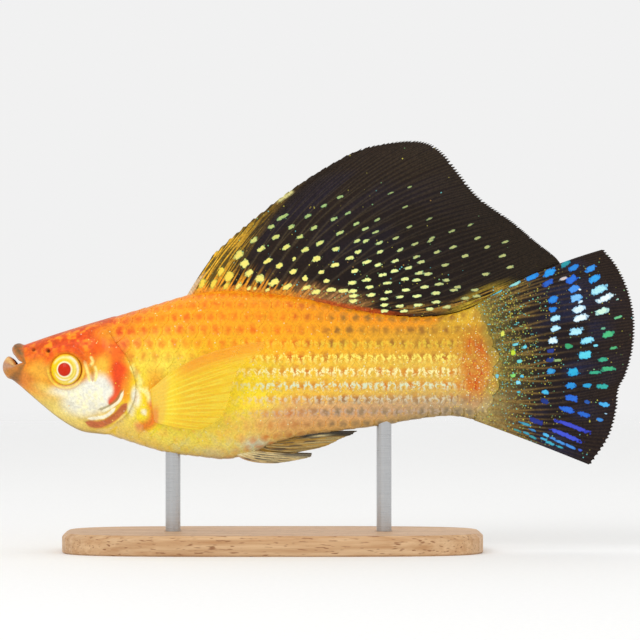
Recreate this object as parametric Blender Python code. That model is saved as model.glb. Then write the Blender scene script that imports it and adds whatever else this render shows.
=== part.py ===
"""Gold giant sailfin molly, a life-size still model of a male on a plain display stand.

The fish swims to the left: its snout points along -X, its left flank faces -Y and its back is up.
Every size is in millimetres and becomes metres when a mesh is made. A place on the fish is given
by s, the distance behind the tip of the lower lip, and h, the height above the level of the eye.
"""

import math

import bmesh
import bpy
import numpy as np

MM = 0.001

# Driving dimensions
TOTAL_LENGTH = 126.4  # lower lip to the hind edge of the tail fin
SEAM = 0.3  # gap between pieces that touch
STAND_CLEARANCE = 13.0  # lowest fin tip above the top of the base
BASE_THICKNESS = 4.0
LOWEST_TIP = -19.4  # h of the lower corner of the tail fin
SNOUT_X = -TOTAL_LENGTH / 2
EYE_LEVEL = BASE_THICKNESS + STAND_CLEARANCE - LOWEST_TIP

# Side outline and breadth of the body, as (s, h) or (s, breadth) along it
BACK = [(4.8, 5.0), (9.4, 6.6), (15.4, 8.5), (23.4, 10.9), (31.4, 13.3), (36.8, 14.9), (43.4, 15.8),
        (51.4, 15.5), (59.4, 14.5), (67.4, 12.7), (75.4, 11.3), (83.4, 10.6), (90.4, 11.4), (98.5, 14.6)]
BELLY = [(4.4, -4.2), (7.4, -6.8), (11.4, -10.0), (15.4, -12.3), (20.4, -13.15), (25.4, -14.7),
         (31.4, -16.5), (39.4, -17.7), (45.4, -18.1), (49.4, -17.1), (53.4, -15.3), (59.4, -13.6),
         (67.4, -12.5), (75.4, -11.5), (83.4, -10.1), (90.4, -9.6), (98.5, -11.6)]
HALF_BREADTH = [(4.4, 3.9), (9.4, 5.2), (13.0, 6.2), (19.0, 7.6), (25.0, 8.4), (31.0, 8.6), (40.0, 8.4),
                (52.0, 7.6), (64.0, 6.2), (76.0, 4.7), (86.0, 3.4), (93.0, 2.2), (98.5, 1.1)]
WIDEST_LEVEL = [(4.4, 0.6), (20.0, 0.0), (31.0, -1.0), (50.0, -1.0), (66.0, -0.2), (84.0, 0.4), (98.5, 1.4)]
UPPER_ROUNDNESS = [(4.4, 2.3), (13.0, 2.9), (24.0, 2.4), (40.0, 2.1), (98.5, 2.0)]
LOWER_ROUNDNESS = [(4.4, 2.0), (15.0, 1.9), (30.0, 2.1), (45.0, 2.2), (70.0, 2.0), (98.5, 2.0)]

# The hind edge of the head and the front of the tail fin, as (angle down from the back, s)
HEAD_EDGE = [(0, 21.8), (65, 22.4), (80, 24.6), (97, 26.2), (120, 25.2), (145, 22.0), (180, 19.6)]
TAIL_STEM_START = 79.8
TAIL_ROOT_EDGE = 94.8
TAIL_ROOT_BULGE = 3.2

# Rings from the front of the head round the lips into the mouth: top (s, h), corner (s, y, h), bottom (s, h)
HEAD_FRONT = [(0, 4.8), (90, 5.2), (180, 4.4)]
MOUTH_RINGS = [
    ((4.2, 4.85), (4.95, 3.85, 1.0), (3.4, -3.3)),
    ((3.3, 5.10), (4.75, 3.75, 1.0), (2.0, -2.25)),
    ((2.3, 4.85), (4.50, 3.60, 1.05), (0.9, -1.65)),
    ((1.85, 4.0), (4.25, 3.35, 1.1), (0.1, -0.4)),
    ((2.05, 3.15), (4.20, 3.05, 1.1), (0.0, 0.9)),
    ((2.6, 2.90), (4.30, 2.80, 1.05), (0.8, 2.4)),
    ((3.4, 3.20), (4.60, 2.50, 1.0), (1.7, 2.2)),
    ((4.4, 3.20), (5.00, 2.10, 0.9), (2.6, 0.4)),
]
THROAT = (6.5, 0.0, 1.0)
JAW_SEAM_S = 3.8
JAW_HINGE = (6.9, -8.0)

# Eye, nostrils and gill cover
EYE_AT = (13.1, 5.4, 0.0)
EYE_RADIUS = 3.2
EYE_DEPTH = 1.7
EYE_TURN = math.radians(13)
EYE_RIM_RISE = 0.3
NOSTRILS = [(6.4, 3.9), (9.4, 3.7)]
NOSTRIL_RADIUS = 0.4
COVER_FRONT = [(38, 18.6), (80, 17.4), (115, 17.6), (150, 18.4)]
COVER_ANGLES = (40, 148)
COVER_RISE = 0.35
COVER_DEPTH = 0.5
COVER_OVERHANG = 0.7

RING_POINTS = 40


# Curves and the body surface


def through(points, at):
    """Smooth curve through (x, y) points: cubic pieces whose slopes are central differences."""
    xs, ys = np.array(points, float).T
    at = np.asarray(at, float)
    slopes = np.gradient(ys, xs)
    i = np.clip(np.searchsorted(xs, at) - 1, 0, len(xs) - 2)
    width = xs[i + 1] - xs[i]
    t = np.clip((at - xs[i]) / width, 0, 1)
    return (
        ys[i] * (1 + 2 * t) * (1 - t) ** 2
        + ys[i + 1] * t * t * (3 - 2 * t)
        + width * (slopes[i] * t * (1 - t) ** 2 - slopes[i + 1] * t * t * (1 - t))
    )


def path(points, at):
    """Smooth plane curve through (s, h) points, where at runs from 0 to 1 along its length."""
    points = np.array(points, float)
    knots = np.concatenate([[0], np.cumsum(np.linalg.norm(np.diff(points, axis=0), axis=1))])
    return np.stack([through(list(zip(knots / knots[-1], column)), at) for column in points.T], -1)


def smooth(value):
    """A soft step from 0 to 1."""
    value = np.clip(value, 0, 1)
    return value * value * (3 - 2 * value)


def power(value, exponent):
    return np.sign(value) * np.abs(value) ** exponent


def fold(angle):
    """An angle round the body, in degrees, as its distance from the back, which is the same on both sides."""
    return 180 - np.abs(180 - np.mod(angle, 360))


def body(s, angle):
    """Point of the body's surface: a superellipse whose upper and lower halves differ.

    The angle is in degrees: 0 on the back, 90 on the left flank, 180 on the belly and 270 on the right flank.
    """
    s, angle = np.broadcast_arrays(np.asarray(s, float), np.asarray(angle, float))
    down, side = np.cos(np.radians(angle)), np.sin(np.radians(angle))
    roundness = np.where(down > 0, through(UPPER_ROUNDNESS, s), through(LOWER_ROUNDNESS, s))
    level = through(WIDEST_LEVEL, s)
    reach = np.where(down > 0, through(BACK, s) - level, level - through(BELLY, s))
    y = -through(HALF_BREADTH, s) * power(side, 2 / roundness)
    h = level + reach * power(down, 2 / roundness)
    return np.stack([s, y, h], -1)


def body_normal(s, angle):
    """Outward direction of the surface, from two short steps along it."""
    along = body(s + 0.05, angle) - body(s - 0.05, angle)
    around = body(s, angle + 0.5) - body(s, angle - 0.5)
    normal = np.cross(around, along)
    return normal / np.linalg.norm(normal, axis=-1, keepdims=True)


def flank_angle(s, h):
    """The angle at which the left flank has the height h."""
    up = h - through(WIDEST_LEVEL, s)
    reach = np.where(up > 0, through(BACK, s) - h + up, h - up - through(BELLY, s))
    roundness = np.where(up > 0, through(UPPER_ROUNDNESS, s), through(LOWER_ROUNDNESS, s))
    return np.degrees(np.arccos(power(np.clip(up / reach, -1, 1), roundness / 2)))


def underside(s, y):
    """Height of the belly at a distance y from the middle."""
    level, roundness = through(WIDEST_LEVEL, s), through(LOWER_ROUNDNESS, s)
    side = np.clip(np.abs(y) / through(HALF_BREADTH, s), 0, 1)
    return level - (level - through(BELLY, s)) * (1 - side**roundness) ** (1 / roundness)


def head_edge(angle):
    return through(HEAD_EDGE, fold(angle))


def tail_root(angle):
    return TAIL_ROOT_EDGE + TAIL_ROOT_BULGE * np.sin(np.radians(angle)) ** 2


# Making meshes


def material(name, colour, roughness, metallic=0.0):
    made = bpy.data.materials.new(name)
    made.use_nodes = True
    shader = made.node_tree.nodes["Principled BSDF"]
    shader.inputs["Base Color"].default_value = (*colour, 1)
    shader.inputs["Roughness"].default_value = roughness
    shader.inputs["Metallic"].default_value = metallic
    return made


def add_object(name, points, faces, finish=None):
    """A mesh object from fish points (s, y, h), set on its stand and turned to metres."""
    placed = (np.asarray(points, float) + (SNOUT_X, 0, EYE_LEVEL)) * MM
    mesh = bpy.data.meshes.new(name)
    mesh.from_pydata(placed.tolist(), [], [tuple(int(i) for i in face) for face in faces])
    work = bmesh.new()
    work.from_mesh(mesh)
    bmesh.ops.remove_doubles(work, verts=work.verts, dist=1e-6)
    bmesh.ops.recalc_face_normals(work, faces=work.faces)
    work.to_mesh(mesh)
    work.free()
    made = bpy.data.objects.new(name, mesh)
    bpy.context.scene.collection.objects.link(made)
    if finish:
        mesh.materials.append(finish)
    return made


def ring_faces(rings, count, closed=True):
    """Quads between rings of points that are stored one after another."""
    steps = count if closed else count - 1
    return [
        (i * count + j, i * count + (j + 1) % count, (i + 1) * count + (j + 1) % count, (i + 1) * count + j)
        for i in range(rings - 1)
        for j in range(steps)
    ]


def flat_cap(start, count):
    """Strips across a ring, from each left point to its mirror image on the right."""
    mirror = [start + (count - j) % count for j in range(count)]
    return [
        tuple(dict.fromkeys((start + j, start + j + 1, mirror[j + 1], mirror[j])))
        for j in range(count // 2)
    ]


def ring_angles(count=RING_POINTS):
    return np.arange(count) * 360 / count


def body_length(name, first, last, steps, finish):
    """A closed length of the body between two edges, each given as s for every angle."""
    angles = ring_angles()
    share = np.linspace(0, 1, steps + 1)[:, None]
    rings = body(first(angles) * (1 - share) + last(angles) * share, angles)
    faces = ring_faces(steps + 1, RING_POINTS)
    faces += flat_cap(0, RING_POINTS) + flat_cap(steps * RING_POINTS, RING_POINTS)
    return add_object(name, rings.reshape(-1, 3), faces, finish)


def prism(name, outline, half_breadth=20.0):
    """A cutter: a side outline (s, h) carried right through the fish."""
    count = len(outline)
    points = [(s, y, h) for y in (-half_breadth, half_breadth) for s, h in outline]
    faces = [tuple(range(count)), tuple(range(count, 2 * count))] + ring_faces(2, count)
    return add_object(name, points, faces)


def sheet_solid(name, near, far, finish=None):
    """A closed piece between two like grids of points, with the same triangles on both."""
    rows, columns = near.shape[:2]
    shift = rows * columns
    faces = []
    for i in range(rows - 1):
        for j in range(columns - 1):
            a, b = i * columns + j, (i + 1) * columns + j
            for face in ((a, a + 1, b + 1), (a, b + 1, b)):
                faces += [face, tuple(shift + k for k in reversed(face))]
    rim = [j for j in range(columns)]
    rim += [i * columns + columns - 1 for i in range(1, rows)]
    rim += [(rows - 1) * columns + j for j in range(columns - 2, -1, -1)]
    rim += [i * columns for i in range(rows - 2, 0, -1)]
    for a, b in zip(rim, rim[1:] + rim[:1]):
        faces += [(a, b, shift + b), (a, shift + b, shift + a)]
    points = np.concatenate([near.reshape(-1, 3), far.reshape(-1, 3)])
    return add_object(name, points, faces, finish)


def ball(name, centre, radii, turn=0.0, segments=20, rings=12):
    """A closed ellipsoid, turned about the upright axis."""
    polar = np.linspace(0, np.pi, rings + 1)[1:-1, None]
    round_ = np.arange(segments) * 2 * np.pi / segments
    shell = np.stack(np.broadcast_arrays(
        np.sin(polar) * np.cos(round_), np.cos(polar) + 0 * round_, np.sin(polar) * np.sin(round_)), -1)
    points = np.concatenate([shell.reshape(-1, 3), [(0, 1, 0), (0, -1, 0)]]) * radii
    cos, sin = math.cos(turn), math.sin(turn)
    points = points @ np.array([(cos, sin, 0), (-sin, cos, 0), (0, 0, 1)]) + centre
    last = (rings - 2) * segments
    top, bottom = (rings - 1) * segments, (rings - 1) * segments + 1
    faces = ring_faces(rings - 1, segments)
    faces += [(top, j, (j + 1) % segments) for j in range(segments)]
    faces += [(bottom, last + j, last + (j + 1) % segments) for j in range(segments)]
    return add_object(name, points, faces)


def rod(name, s, low, high, radius, sides=16, finish=None):
    """An upright cylinder between two heights."""
    turn = np.arange(sides) * 2 * np.pi / sides
    rings = np.stack(np.broadcast_arrays(
        s + radius * np.cos(turn), radius * np.sin(turn), np.array([[low], [high]])), -1)
    faces = [tuple(range(sides)), tuple(range(sides, 2 * sides))] + ring_faces(2, sides)
    return add_object(name, rings.reshape(-1, 3), faces, finish)


def combine(target, others, operation):
    """Applies a Boolean with each of the others in turn, and removes them."""
    for other in others:
        step = target.modifiers.new(operation, "BOOLEAN")
        step.operation = operation
        step.solver = "EXACT"
        step.object = other
    graph = bpy.context.evaluated_depsgraph_get()
    graph.update()
    result = bpy.data.meshes.new_from_object(target.evaluated_get(graph))
    target.modifiers.clear()
    target.data = result
    for other in others:
        bpy.data.objects.remove(other)
    return target


def copy_of(source, name, finish):
    made = source.copy()
    made.data = source.data.copy()
    made.name = name
    made.data.materials.clear()
    made.data.materials.append(finish)
    bpy.context.scene.collection.objects.link(made)
    return made


# Body


def mouth_ring(top, corner, bottom, angles):
    """One ring of the mouth, from its top, its corners and its bottom."""
    down, side = np.cos(np.radians(angles)), np.sin(np.radians(angles))
    middle_s = np.where(down > 0, top[0], bottom[0])
    middle_h = np.where(down > 0, top[1], bottom[1])
    share_s = np.abs(down) ** np.where(down > 0, 0.9, 0.85)
    share_h = np.abs(down) ** np.where(down > 0, 0.9, 1.2)
    return np.stack([
        corner[0] + (middle_s - corner[0]) * share_s,
        -corner[1] * power(side, 0.85),
        corner[2] + (middle_h - corner[2]) * share_h,
    ], -1)


def raise_eye_rim(points):
    """Lifts the skin in a low ring round each eye socket."""
    away = np.hypot(points[..., 0] - EYE_AT[0], points[..., 2] - EYE_AT[2])
    lift = EYE_RIM_RISE * np.exp(-(((away - EYE_RADIUS - 0.65) / 0.55) ** 2))
    on_flank = np.clip((np.abs(points[..., 1]) - 2.5) / 2, 0, 1)
    points[..., 1] += np.sign(points[..., 1]) * lift * on_flank
    return points


def whole_head():
    """The head and both jaws as one closed body, open at the mouth."""
    steps = 20
    angles = ring_angles()
    front = through(HEAD_FRONT, fold(angles))
    share = np.linspace(1, 0, steps + 1)[:, None]
    rings = raise_eye_rim(body(front + (head_edge(angles) - front) * share, angles))
    rings = np.concatenate([rings, [mouth_ring(*ring, angles) for ring in MOUTH_RINGS]])
    count = len(rings)
    throat = count * RING_POINTS
    last = throat - RING_POINTS
    faces = ring_faces(count, RING_POINTS) + flat_cap(0, RING_POINTS)
    faces += [(throat, last + j, last + (j + 1) % RING_POINTS) for j in range(RING_POINTS)]
    points = np.concatenate([rings.reshape(-1, 3), [THROAT]])
    return add_object("whole_head", points, faces)


def cover_grid(side, rise, margin=0.0):
    """Points over one gill cover, lifted off the body by rise and spread by margin all round."""
    spread = math.degrees(margin / 8.0)
    angles = np.linspace(COVER_ANGLES[0] - spread, COVER_ANGLES[1] + spread, 13)[:, None]
    middle = np.mean(COVER_ANGLES)
    reach = (angles - middle) / (COVER_ANGLES[1] - middle)
    front = through(COVER_FRONT, angles) - margin
    back = head_edge(angles) + COVER_OVERHANG + margin
    pinch = np.sqrt(1 - 0.88 * np.clip(np.abs(reach), 0, 1) ** 5)
    centre, half = (front + back) / 2, (back - front) / 2 * pinch
    along = np.linspace(-1, 1, 8)
    s = centre + half * along
    turned = angles + 0 * along if side < 0 else 360 - angles + 0 * along
    crown = 0.25 * (1 - along**2) * (1 - np.clip(np.abs(reach), 0, 1) ** 2) if margin == 0 else 0 * s
    return body(s, turned) + body_normal(s, turned) * (rise + crown * (rise > 0))[..., None]


def gill_cover(name, side, finish):
    return sheet_solid(name, cover_grid(side, COVER_RISE), cover_grid(side, -COVER_DEPTH), finish)


def cover_cutter(side):
    inner = cover_grid(side, -COVER_DEPTH - SEAM, SEAM)
    outer = cover_grid(side, 2.5, SEAM)
    return sheet_solid("cover_cutter", inner, outer)


def eye(name, side, grow=0.0, finish=None):
    centre = (EYE_AT[0], side * EYE_AT[1], EYE_AT[2])
    radii = (EYE_RADIUS + grow, EYE_DEPTH + grow, EYE_RADIUS + grow)
    made = ball(name, centre, radii, turn=side * EYE_TURN, segments=20, rings=10)
    if finish:
        made.data.materials.append(finish)
    return made


def nostril_cutters():
    made = []
    for side in (-1, 1):
        for s, h in NOSTRILS:
            centre = body(s, flank_angle(s, h)) * (1, -side, 1)
            made.append(ball("nostril_cutter", centre, (NOSTRIL_RADIUS,) * 3, segments=10, rings=6))
    return made


# Fins

WEB = 0.25  # half the thickness of the membrane
RAY_REACH = (1.0, 0.993, 1.0, 0.984)  # how far a ray's branches, its middle and the web go towards the edge


def fin(name, centre, half, finish):
    """A thin piece with a centre surface and half its thickness at each of its points."""
    normal = np.cross(np.gradient(centre, axis=0), np.gradient(centre, axis=1))
    normal /= np.linalg.norm(normal, axis=-1, keepdims=True)
    offset = normal * half[..., None]
    return sheet_solid(name, centre - offset, centre + offset, finish)


def branched_rays(count, steps):
    """Grid for a fin whose rays fork once: each has a near branch, a middle and a far branch, with web between.

    Returns the place across the fin, in rays, the place along it from 0 to 1, and the share of a whole ridge.
    """
    kind = np.tile([0, 1, 2, 3], count)[:-1]
    order = np.repeat(np.arange(count), 4)[:-1]
    t = np.linspace(0, 1, steps + 1)[:, None]
    parted = smooth((t - 0.3) / 0.4)
    spread = 0.10 + 0.13 * parted
    place = order + np.choose(kind, [-spread, 0 * t, spread, 0.5 + 0 * t])
    place = (place + 0.23) * (count - 1) / (count - 0.54)
    ridge = np.choose(kind, [0.5 + 0.5 * parted, 1 - 0.85 * parted, 0.5 + 0.5 * parted, 0 * t])
    return place, t * np.array(RAY_REACH)[kind], ridge


def single_rays(count, steps):
    """The same grid for a fin whose rays don't fork: one crest for each ray and one valley between two."""
    place = np.linspace(0, count - 1, 2 * count - 1)
    crest = (np.arange(2 * count - 1) + 1) % 2
    t = np.linspace(0, 1, steps + 1)[:, None]
    return place + 0 * t, t * (RAY_REACH[3] + (1 - RAY_REACH[3]) * crest), crest + 0 * t


def bend(root, control, tip, t):
    """Point of a ray: a curve that leaves the root towards the control point and ends at the tip."""
    return root * (1 - t) ** 2 + control * 2 * t * (1 - t) + tip * t * t


def ray_tips(tips, ray):
    """The end of each ray, from a list of (ray, s, h)."""
    order, tip_s, tip_h = np.array(tips).T
    return np.stack([through(list(zip(order, tip_s)), ray), through(list(zip(order, tip_h)), ray)], -1)


def leaning_ray(root, tip, lean, pull, t):
    """A ray that leaves its root at the angle lean above the level and then bends towards its tip."""
    length = np.linalg.norm(tip - root, axis=-1)[..., None]
    control = root + pull * length * np.stack([np.cos(lean), np.sin(lean)], -1)
    return bend(root, control, tip, t[..., None])


# Dorsal fin: the sail
DORSAL_RAYS = 18
DORSAL_ROOTS = (36.8, 79.0)
DORSAL_TIPS = [(0, 41.8, 22.4), (1, 49.0, 28.8), (2, 58.0, 35.8), (3, 65.4, 40.6), (4, 72.4, 44.2),
               (5, 79.4, 45.6), (6, 84.6, 45.4), (7, 88.2, 43.2), (8, 91.4, 39.2), (9, 94.4, 35.3),
               (11, 101.6, 29.8), (13, 106.3, 25.8), (15, 109.2, 23.3), (17, 110.6, 21.6)]
DORSAL_LEAN = [(0, 60), (5, 62), (8, 56), (11, 38), (13, 18), (15, 4), (17, -2)]
DORSAL_LAST_RAY = [(79.0, 11.15), (87.4, 11.5), (93.4, 13.3), (97.4, 15.2), (103.4, 18.5), (110.6, 21.6)]
DORSAL_RIDGE = 0.2
SAIL_WAVE = 1.1


def dorsal_point(ray, t):
    """Centre of the sail at a place across its rays and along them."""
    share = ray / (DORSAL_RAYS - 1)
    root_s = DORSAL_ROOTS[0] + (DORSAL_ROOTS[1] - DORSAL_ROOTS[0]) * share
    root = np.stack([root_s, through(BACK, root_s) + SEAM], -1)
    lean = np.radians(through(DORSAL_LEAN, ray))
    flat = leaning_ray(root, ray_tips(DORSAL_TIPS, ray), lean, 0.5, t)
    last = path(DORSAL_LAST_RAY, t)
    flat += (last - flat) * (share**9)[..., None]
    wave = SAIL_WAVE * np.sin(2 * np.pi * (0.9 * share + 0.15)) * t**1.5
    return np.stack([flat[..., 0], wave, flat[..., 1]], -1)


def dorsal_fin(finish):
    ray, t, ridge = branched_rays(DORSAL_RAYS, 11)
    half = WEB + 0.35 * np.exp(-t / 0.1) + DORSAL_RIDGE * ridge * (1 - 0.4 * t)
    return fin("dorsal_fin", dorsal_point(ray, t), half, finish)


# Tail fin
TAIL_RAYS = 18
TAIL_TIPS = [(0, 120.2, 24.0), (1.5, 122.6, 21.2), (3.5, 124.8, 17.0), (5.5, 126.1, 12.4), (7.5, 126.4, 7.6),
             (9.5, 125.7, 2.4), (11, 124.4, -1.6), (11.8, 123.4, -3.4), (13.5, 122.8, -8.2), (15.5, 121.0, -14.2),
             (17, 117.6, -19.3)]
TAIL_LEAN = [(0, 33), (5, 18), (9, 0), (13, -12), (17, -20)]
TAIL_RIDGE = 0.2
TAIL_WAVE = 0.9


def tail_point(ray, t):
    """Centre of the tail fin at a place across its rays and along them."""
    share = ray / (TAIL_RAYS - 1)
    angle = 4 + 172 * share
    root = body(tail_root(angle) + SEAM, angle)[..., ::2]
    lean = np.radians(through(TAIL_LEAN, ray))
    flat = leaning_ray(root, ray_tips(TAIL_TIPS, ray), lean, 0.45, t)
    wave = TAIL_WAVE * np.sin(2 * np.pi * (1.1 * share + 0.05)) * t**1.6
    return np.stack([flat[..., 0], wave, flat[..., 1]], -1)


def tail_fin(finish):
    ray, t, ridge = branched_rays(TAIL_RAYS, 8)
    middle = np.sin(np.pi * (ray / (TAIL_RAYS - 1) * 0.9 + 0.05))
    half = WEB + (0.1 + 0.75 * middle) * np.exp(-((t / 0.16) ** 1.5)) + TAIL_RIDGE * ridge * (1 - 0.4 * t)
    return fin("caudal_fin", tail_point(ray, t), half, finish)


# Pectoral fins, which fan out over the flanks
PECTORAL_RAYS = 13
PECTORAL_ROOT = ((31.0, -3.0), (31.2, -10.2))
PECTORAL_TIPS = [(0, 52.8, 5.6), (2, 51.8, 3.4), (4, 48.0, 0.6), (6, 46.2, -3.4), (8, 45.2, -7.0),
                 (10, 43.2, -10.0), (12, 39.4, -12.0)]
PECTORAL_LEAN = [(0, 44), (4, 24), (8, 4), (12, -18)]
PECTORAL_BASE = 0.5
PECTORAL_SPREAD = 0.17
PECTORAL_RIDGE = 0.15


def pectoral_point(ray, t, side):
    """Centre of a pectoral fin, which leaves the flank backwards and slightly outwards."""
    share = (ray / (PECTORAL_RAYS - 1))[..., None]
    root = np.array(PECTORAL_ROOT[0]) * (1 - share) + np.array(PECTORAL_ROOT[1]) * share
    tip = ray_tips(PECTORAL_TIPS, ray)
    flat = leaning_ray(root, tip, np.radians(through(PECTORAL_LEAN, ray)), 0.45, t)
    start = flank_angle(root[..., 0], root[..., 1])
    lifted = body(root[..., 0], start) + body_normal(root[..., 0], start) * (SEAM + PECTORAL_BASE + WEB)
    run = np.linalg.norm(tip - root, axis=-1) * t
    outward = -lifted[..., 1] + PECTORAL_SPREAD * run + 0.5 * np.sin(np.pi * t)
    return np.stack([flat[..., 0], side * outward, flat[..., 1] + (lifted[..., 2] - root[..., 1]) * (1 - t)], -1)


def pectoral_fin(name, side, finish):
    ray, t, ridge = single_rays(PECTORAL_RAYS, 7)
    half = WEB + PECTORAL_BASE * np.exp(-((t / 0.12) ** 2)) + PECTORAL_RIDGE * ridge * (1 - 0.4 * t)
    return fin(name, pectoral_point(ray, t, side), half, finish)


# Pelvic fins, folded back below the belly
PELVIC_RAYS = 6
PELVIC_ROOT = ((50.4, 1.5), (46.9, 2.4))
PELVIC_TIPS = [(0, 61.8, -16.9), (1, 61.6, -17.4), (2, 60.6, -17.75), (3, 58.9, -18.1), (4, 56.9, -18.45),
               (5, 54.6, -18.75)]
PELVIC_TIP_Y = (3.5, 2.9)
PELVIC_RIDGE = 0.12


def pelvic_point(ray, t, side):
    """Centre of a pelvic fin, from its rearmost ray to its foremost one."""
    share = ray / (PELVIC_RAYS - 1)
    root_s = PELVIC_ROOT[0][0] * (1 - share) + PELVIC_ROOT[1][0] * share
    root_y = PELVIC_ROOT[0][1] * (1 - share) + PELVIC_ROOT[1][1] * share
    root = np.stack([root_s, root_y, underside(root_s, root_y) - SEAM], -1)
    tip = ray_tips(PELVIC_TIPS, ray)
    tip_y = PELVIC_TIP_Y[0] * (1 - share) + PELVIC_TIP_Y[1] * share
    tip = np.stack([tip[..., 0], tip_y, tip[..., 1]], -1)
    droop = np.stack([0 * share, 0.3 + 0 * share, -0.1 - 1.2 * share], -1)
    control = root + (tip - root) * 0.25 + droop
    return bend(root, control, tip, t[..., None]) * (1, side, 1)


def pelvic_fin(name, side, finish):
    ray, t, ridge = single_rays(PELVIC_RAYS, 6)
    half = WEB + 0.15 * np.exp(-t / 0.15) + PELVIC_RIDGE * ridge * (1 - 0.4 * t)
    return fin(name, pelvic_point(ray, t, side), half, finish)


# Anal fin, which in the male is a slender leaf of thick rays folded back under the belly
ANAL_RAYS = 7
ANAL_ROOT = (56.4, 52.0)
ANAL_TIPS = [(0, 71.0, -12.75), (1, 69.8, -13.15), (2, 68.0, -13.8), (3, 66.4, -14.6), (4, 64.9, -15.3),
             (5, 62.8, -15.9), (6, 60.0, -16.4)]
ANAL_RIDGE = 0.2


def anal_point(ray, t):
    """Centre of the anal fin, from its rearmost ray, the long one, to its foremost one."""
    share = ray / (ANAL_RAYS - 1)
    root_s = ANAL_ROOT[0] * (1 - share) + ANAL_ROOT[1] * share
    root = np.stack([root_s, through(BELLY, root_s) - SEAM], -1)
    tip = ray_tips(ANAL_TIPS, ray)
    control = root + (tip - root) * 0.4 + np.stack([0 * share, -0.1 - 1.1 * share], -1)
    flat = bend(root, control, tip, t[..., None])
    return np.stack([flat[..., 0], 0 * t, flat[..., 1]], -1)


def anal_fin(finish):
    ray, t, ridge = single_rays(ANAL_RAYS, 8)
    half = WEB + 0.25 * np.exp(-t / 0.2) + ANAL_RIDGE * ridge * (1 - 0.5 * t)
    return fin("anal_fin", anal_point(ray, t), half, finish)


# Display stand
BASE_LENGTH = 84.0
BASE_WIDTH = 36.0
BASE_CENTRE = 54.0
BASE_CHAMFER = 0.8
BASE_SIDES = 40
ROD_RADIUS = 1.5
ROD_PLACES = {"front": 34.0, "rear": 76.2}
SOCKET_DEPTH = 2.5


def stand_base(finish):
    """A flat plate with rounded ends and a small chamfer, bored for the rods."""
    turn = np.arange(BASE_SIDES) * 2 * np.pi / BASE_SIDES
    rings = []
    for z, inset in ((0, 0.3), (0.3, 0), (BASE_THICKNESS - BASE_CHAMFER, 0), (BASE_THICKNESS, BASE_CHAMFER)):
        rings.append(np.stack([
            BASE_CENTRE + (BASE_LENGTH / 2 - inset) * power(np.cos(turn), 0.55),
            (BASE_WIDTH / 2 - inset) * power(np.sin(turn), 0.55),
            np.full(BASE_SIDES, z - EYE_LEVEL),
        ], -1))
    faces = ring_faces(4, BASE_SIDES)
    faces += [tuple(range(BASE_SIDES)), tuple(range(3 * BASE_SIDES, 4 * BASE_SIDES))]
    base = add_object("stand_base", np.concatenate(rings), faces, finish)
    floor = BASE_THICKNESS - SOCKET_DEPTH - EYE_LEVEL
    bores = [rod("bore", s, floor, floor + 10, ROD_RADIUS + SEAM) for s in ROD_PLACES.values()]
    return combine(base, bores, "DIFFERENCE")


def stand_rods(finish):
    for place, s in ROD_PLACES.items():
        low = BASE_THICKNESS - SOCKET_DEPTH + SEAM - EYE_LEVEL
        high = float(through(BELLY, s)) + SOCKET_DEPTH - SEAM
        rod("stand_rod_" + place, s, low, high, ROD_RADIUS, finish=finish)


def rod_sockets():
    return [
        rod("socket", s, float(through(BELLY, s)) - 5, float(through(BELLY, s)) + SOCKET_DEPTH, ROD_RADIUS + SEAM)
        for s in ROD_PLACES.values()
    ]


# Putting the fish together


def build():
    for old in list(bpy.data.objects):
        bpy.data.objects.remove(old)
    skin = material("gold_skin", (0.95, 0.45, 0.05), 0.35)
    lip = material("lip_skin", (0.55, 0.25, 0.08), 0.4)
    cheek = material("silver_cheek", (0.90, 0.82, 0.55), 0.3)
    eye_finish = material("eye", (0.85, 0.60, 0.30), 0.15)
    sail = material("black_fin", (0.03, 0.02, 0.02), 0.45)
    pale_fin = material("yellow_fin", (0.95, 0.65, 0.08), 0.4)
    belly_fin = material("streaked_fin", (0.45, 0.38, 0.16), 0.45)
    wood = material("beech", (0.62, 0.42, 0.26), 0.5)
    steel = material("steel", (0.60, 0.60, 0.62), 0.3, 1.0)

    whole = whole_head()
    upper = copy_of(whole, "upper_jaw", lip)
    lower = copy_of(whole, "lower_jaw", lip)
    head = copy_of(whole, "head", skin)
    bpy.data.objects.remove(whole)
    mouth_line = [(-3, 5.0), (1.35, 2.8), (JAW_SEAM_S, 1.3)]
    combine(upper, [prism("cutter", mouth_line + [(JAW_SEAM_S, 12), (-3, 12)])], "INTERSECT")
    combine(lower, [prism("cutter", mouth_line + [JAW_HINGE, (-3, -8)])], "INTERSECT")
    seam_s = JAW_SEAM_S + SEAM
    behind = [(seam_s, 12), (seam_s, 1.3), (JAW_HINGE[0] + SEAM, JAW_HINGE[1]), (8, -30), (60, -30), (60, 30), (seam_s, 30)]
    combine(head, [prism("cutter", behind)], "INTERSECT")
    sockets = [eye("socket", side, SEAM) for side in (-1, 1)]
    covers = [cover_cutter(side) for side in (-1, 1)]
    combine(head, sockets + covers + nostril_cutters(), "DIFFERENCE")

    trunk = body_length(
        "trunk", lambda a: head_edge(a) + SEAM, lambda a: np.full_like(a, TAIL_STEM_START), 22, skin)
    covers = [cover_cutter(side) for side in (-1, 1)]
    combine(trunk, covers + rod_sockets(), "DIFFERENCE")
    body_length("tail_stem", lambda a: np.full_like(a, TAIL_STEM_START + SEAM), tail_root, 7, skin)

    for name, side in (("left", -1), ("right", 1)):
        eye("eye_" + name, side, finish=eye_finish)
        gill_cover("gill_cover_" + name, side, cheek)
        pectoral_fin("pectoral_fin_" + name, side, pale_fin)
        pelvic_fin("pelvic_fin_" + name, side, belly_fin)
    dorsal_fin(sail)
    tail_fin(sail)
    anal_fin(belly_fin)
    stand_base(wood)
    stand_rods(steel)
    for made in bpy.data.objects:
        made.data.shade_smooth()
        made.data.set_sharp_from_angle(angle=math.radians(35))


build()
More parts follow.
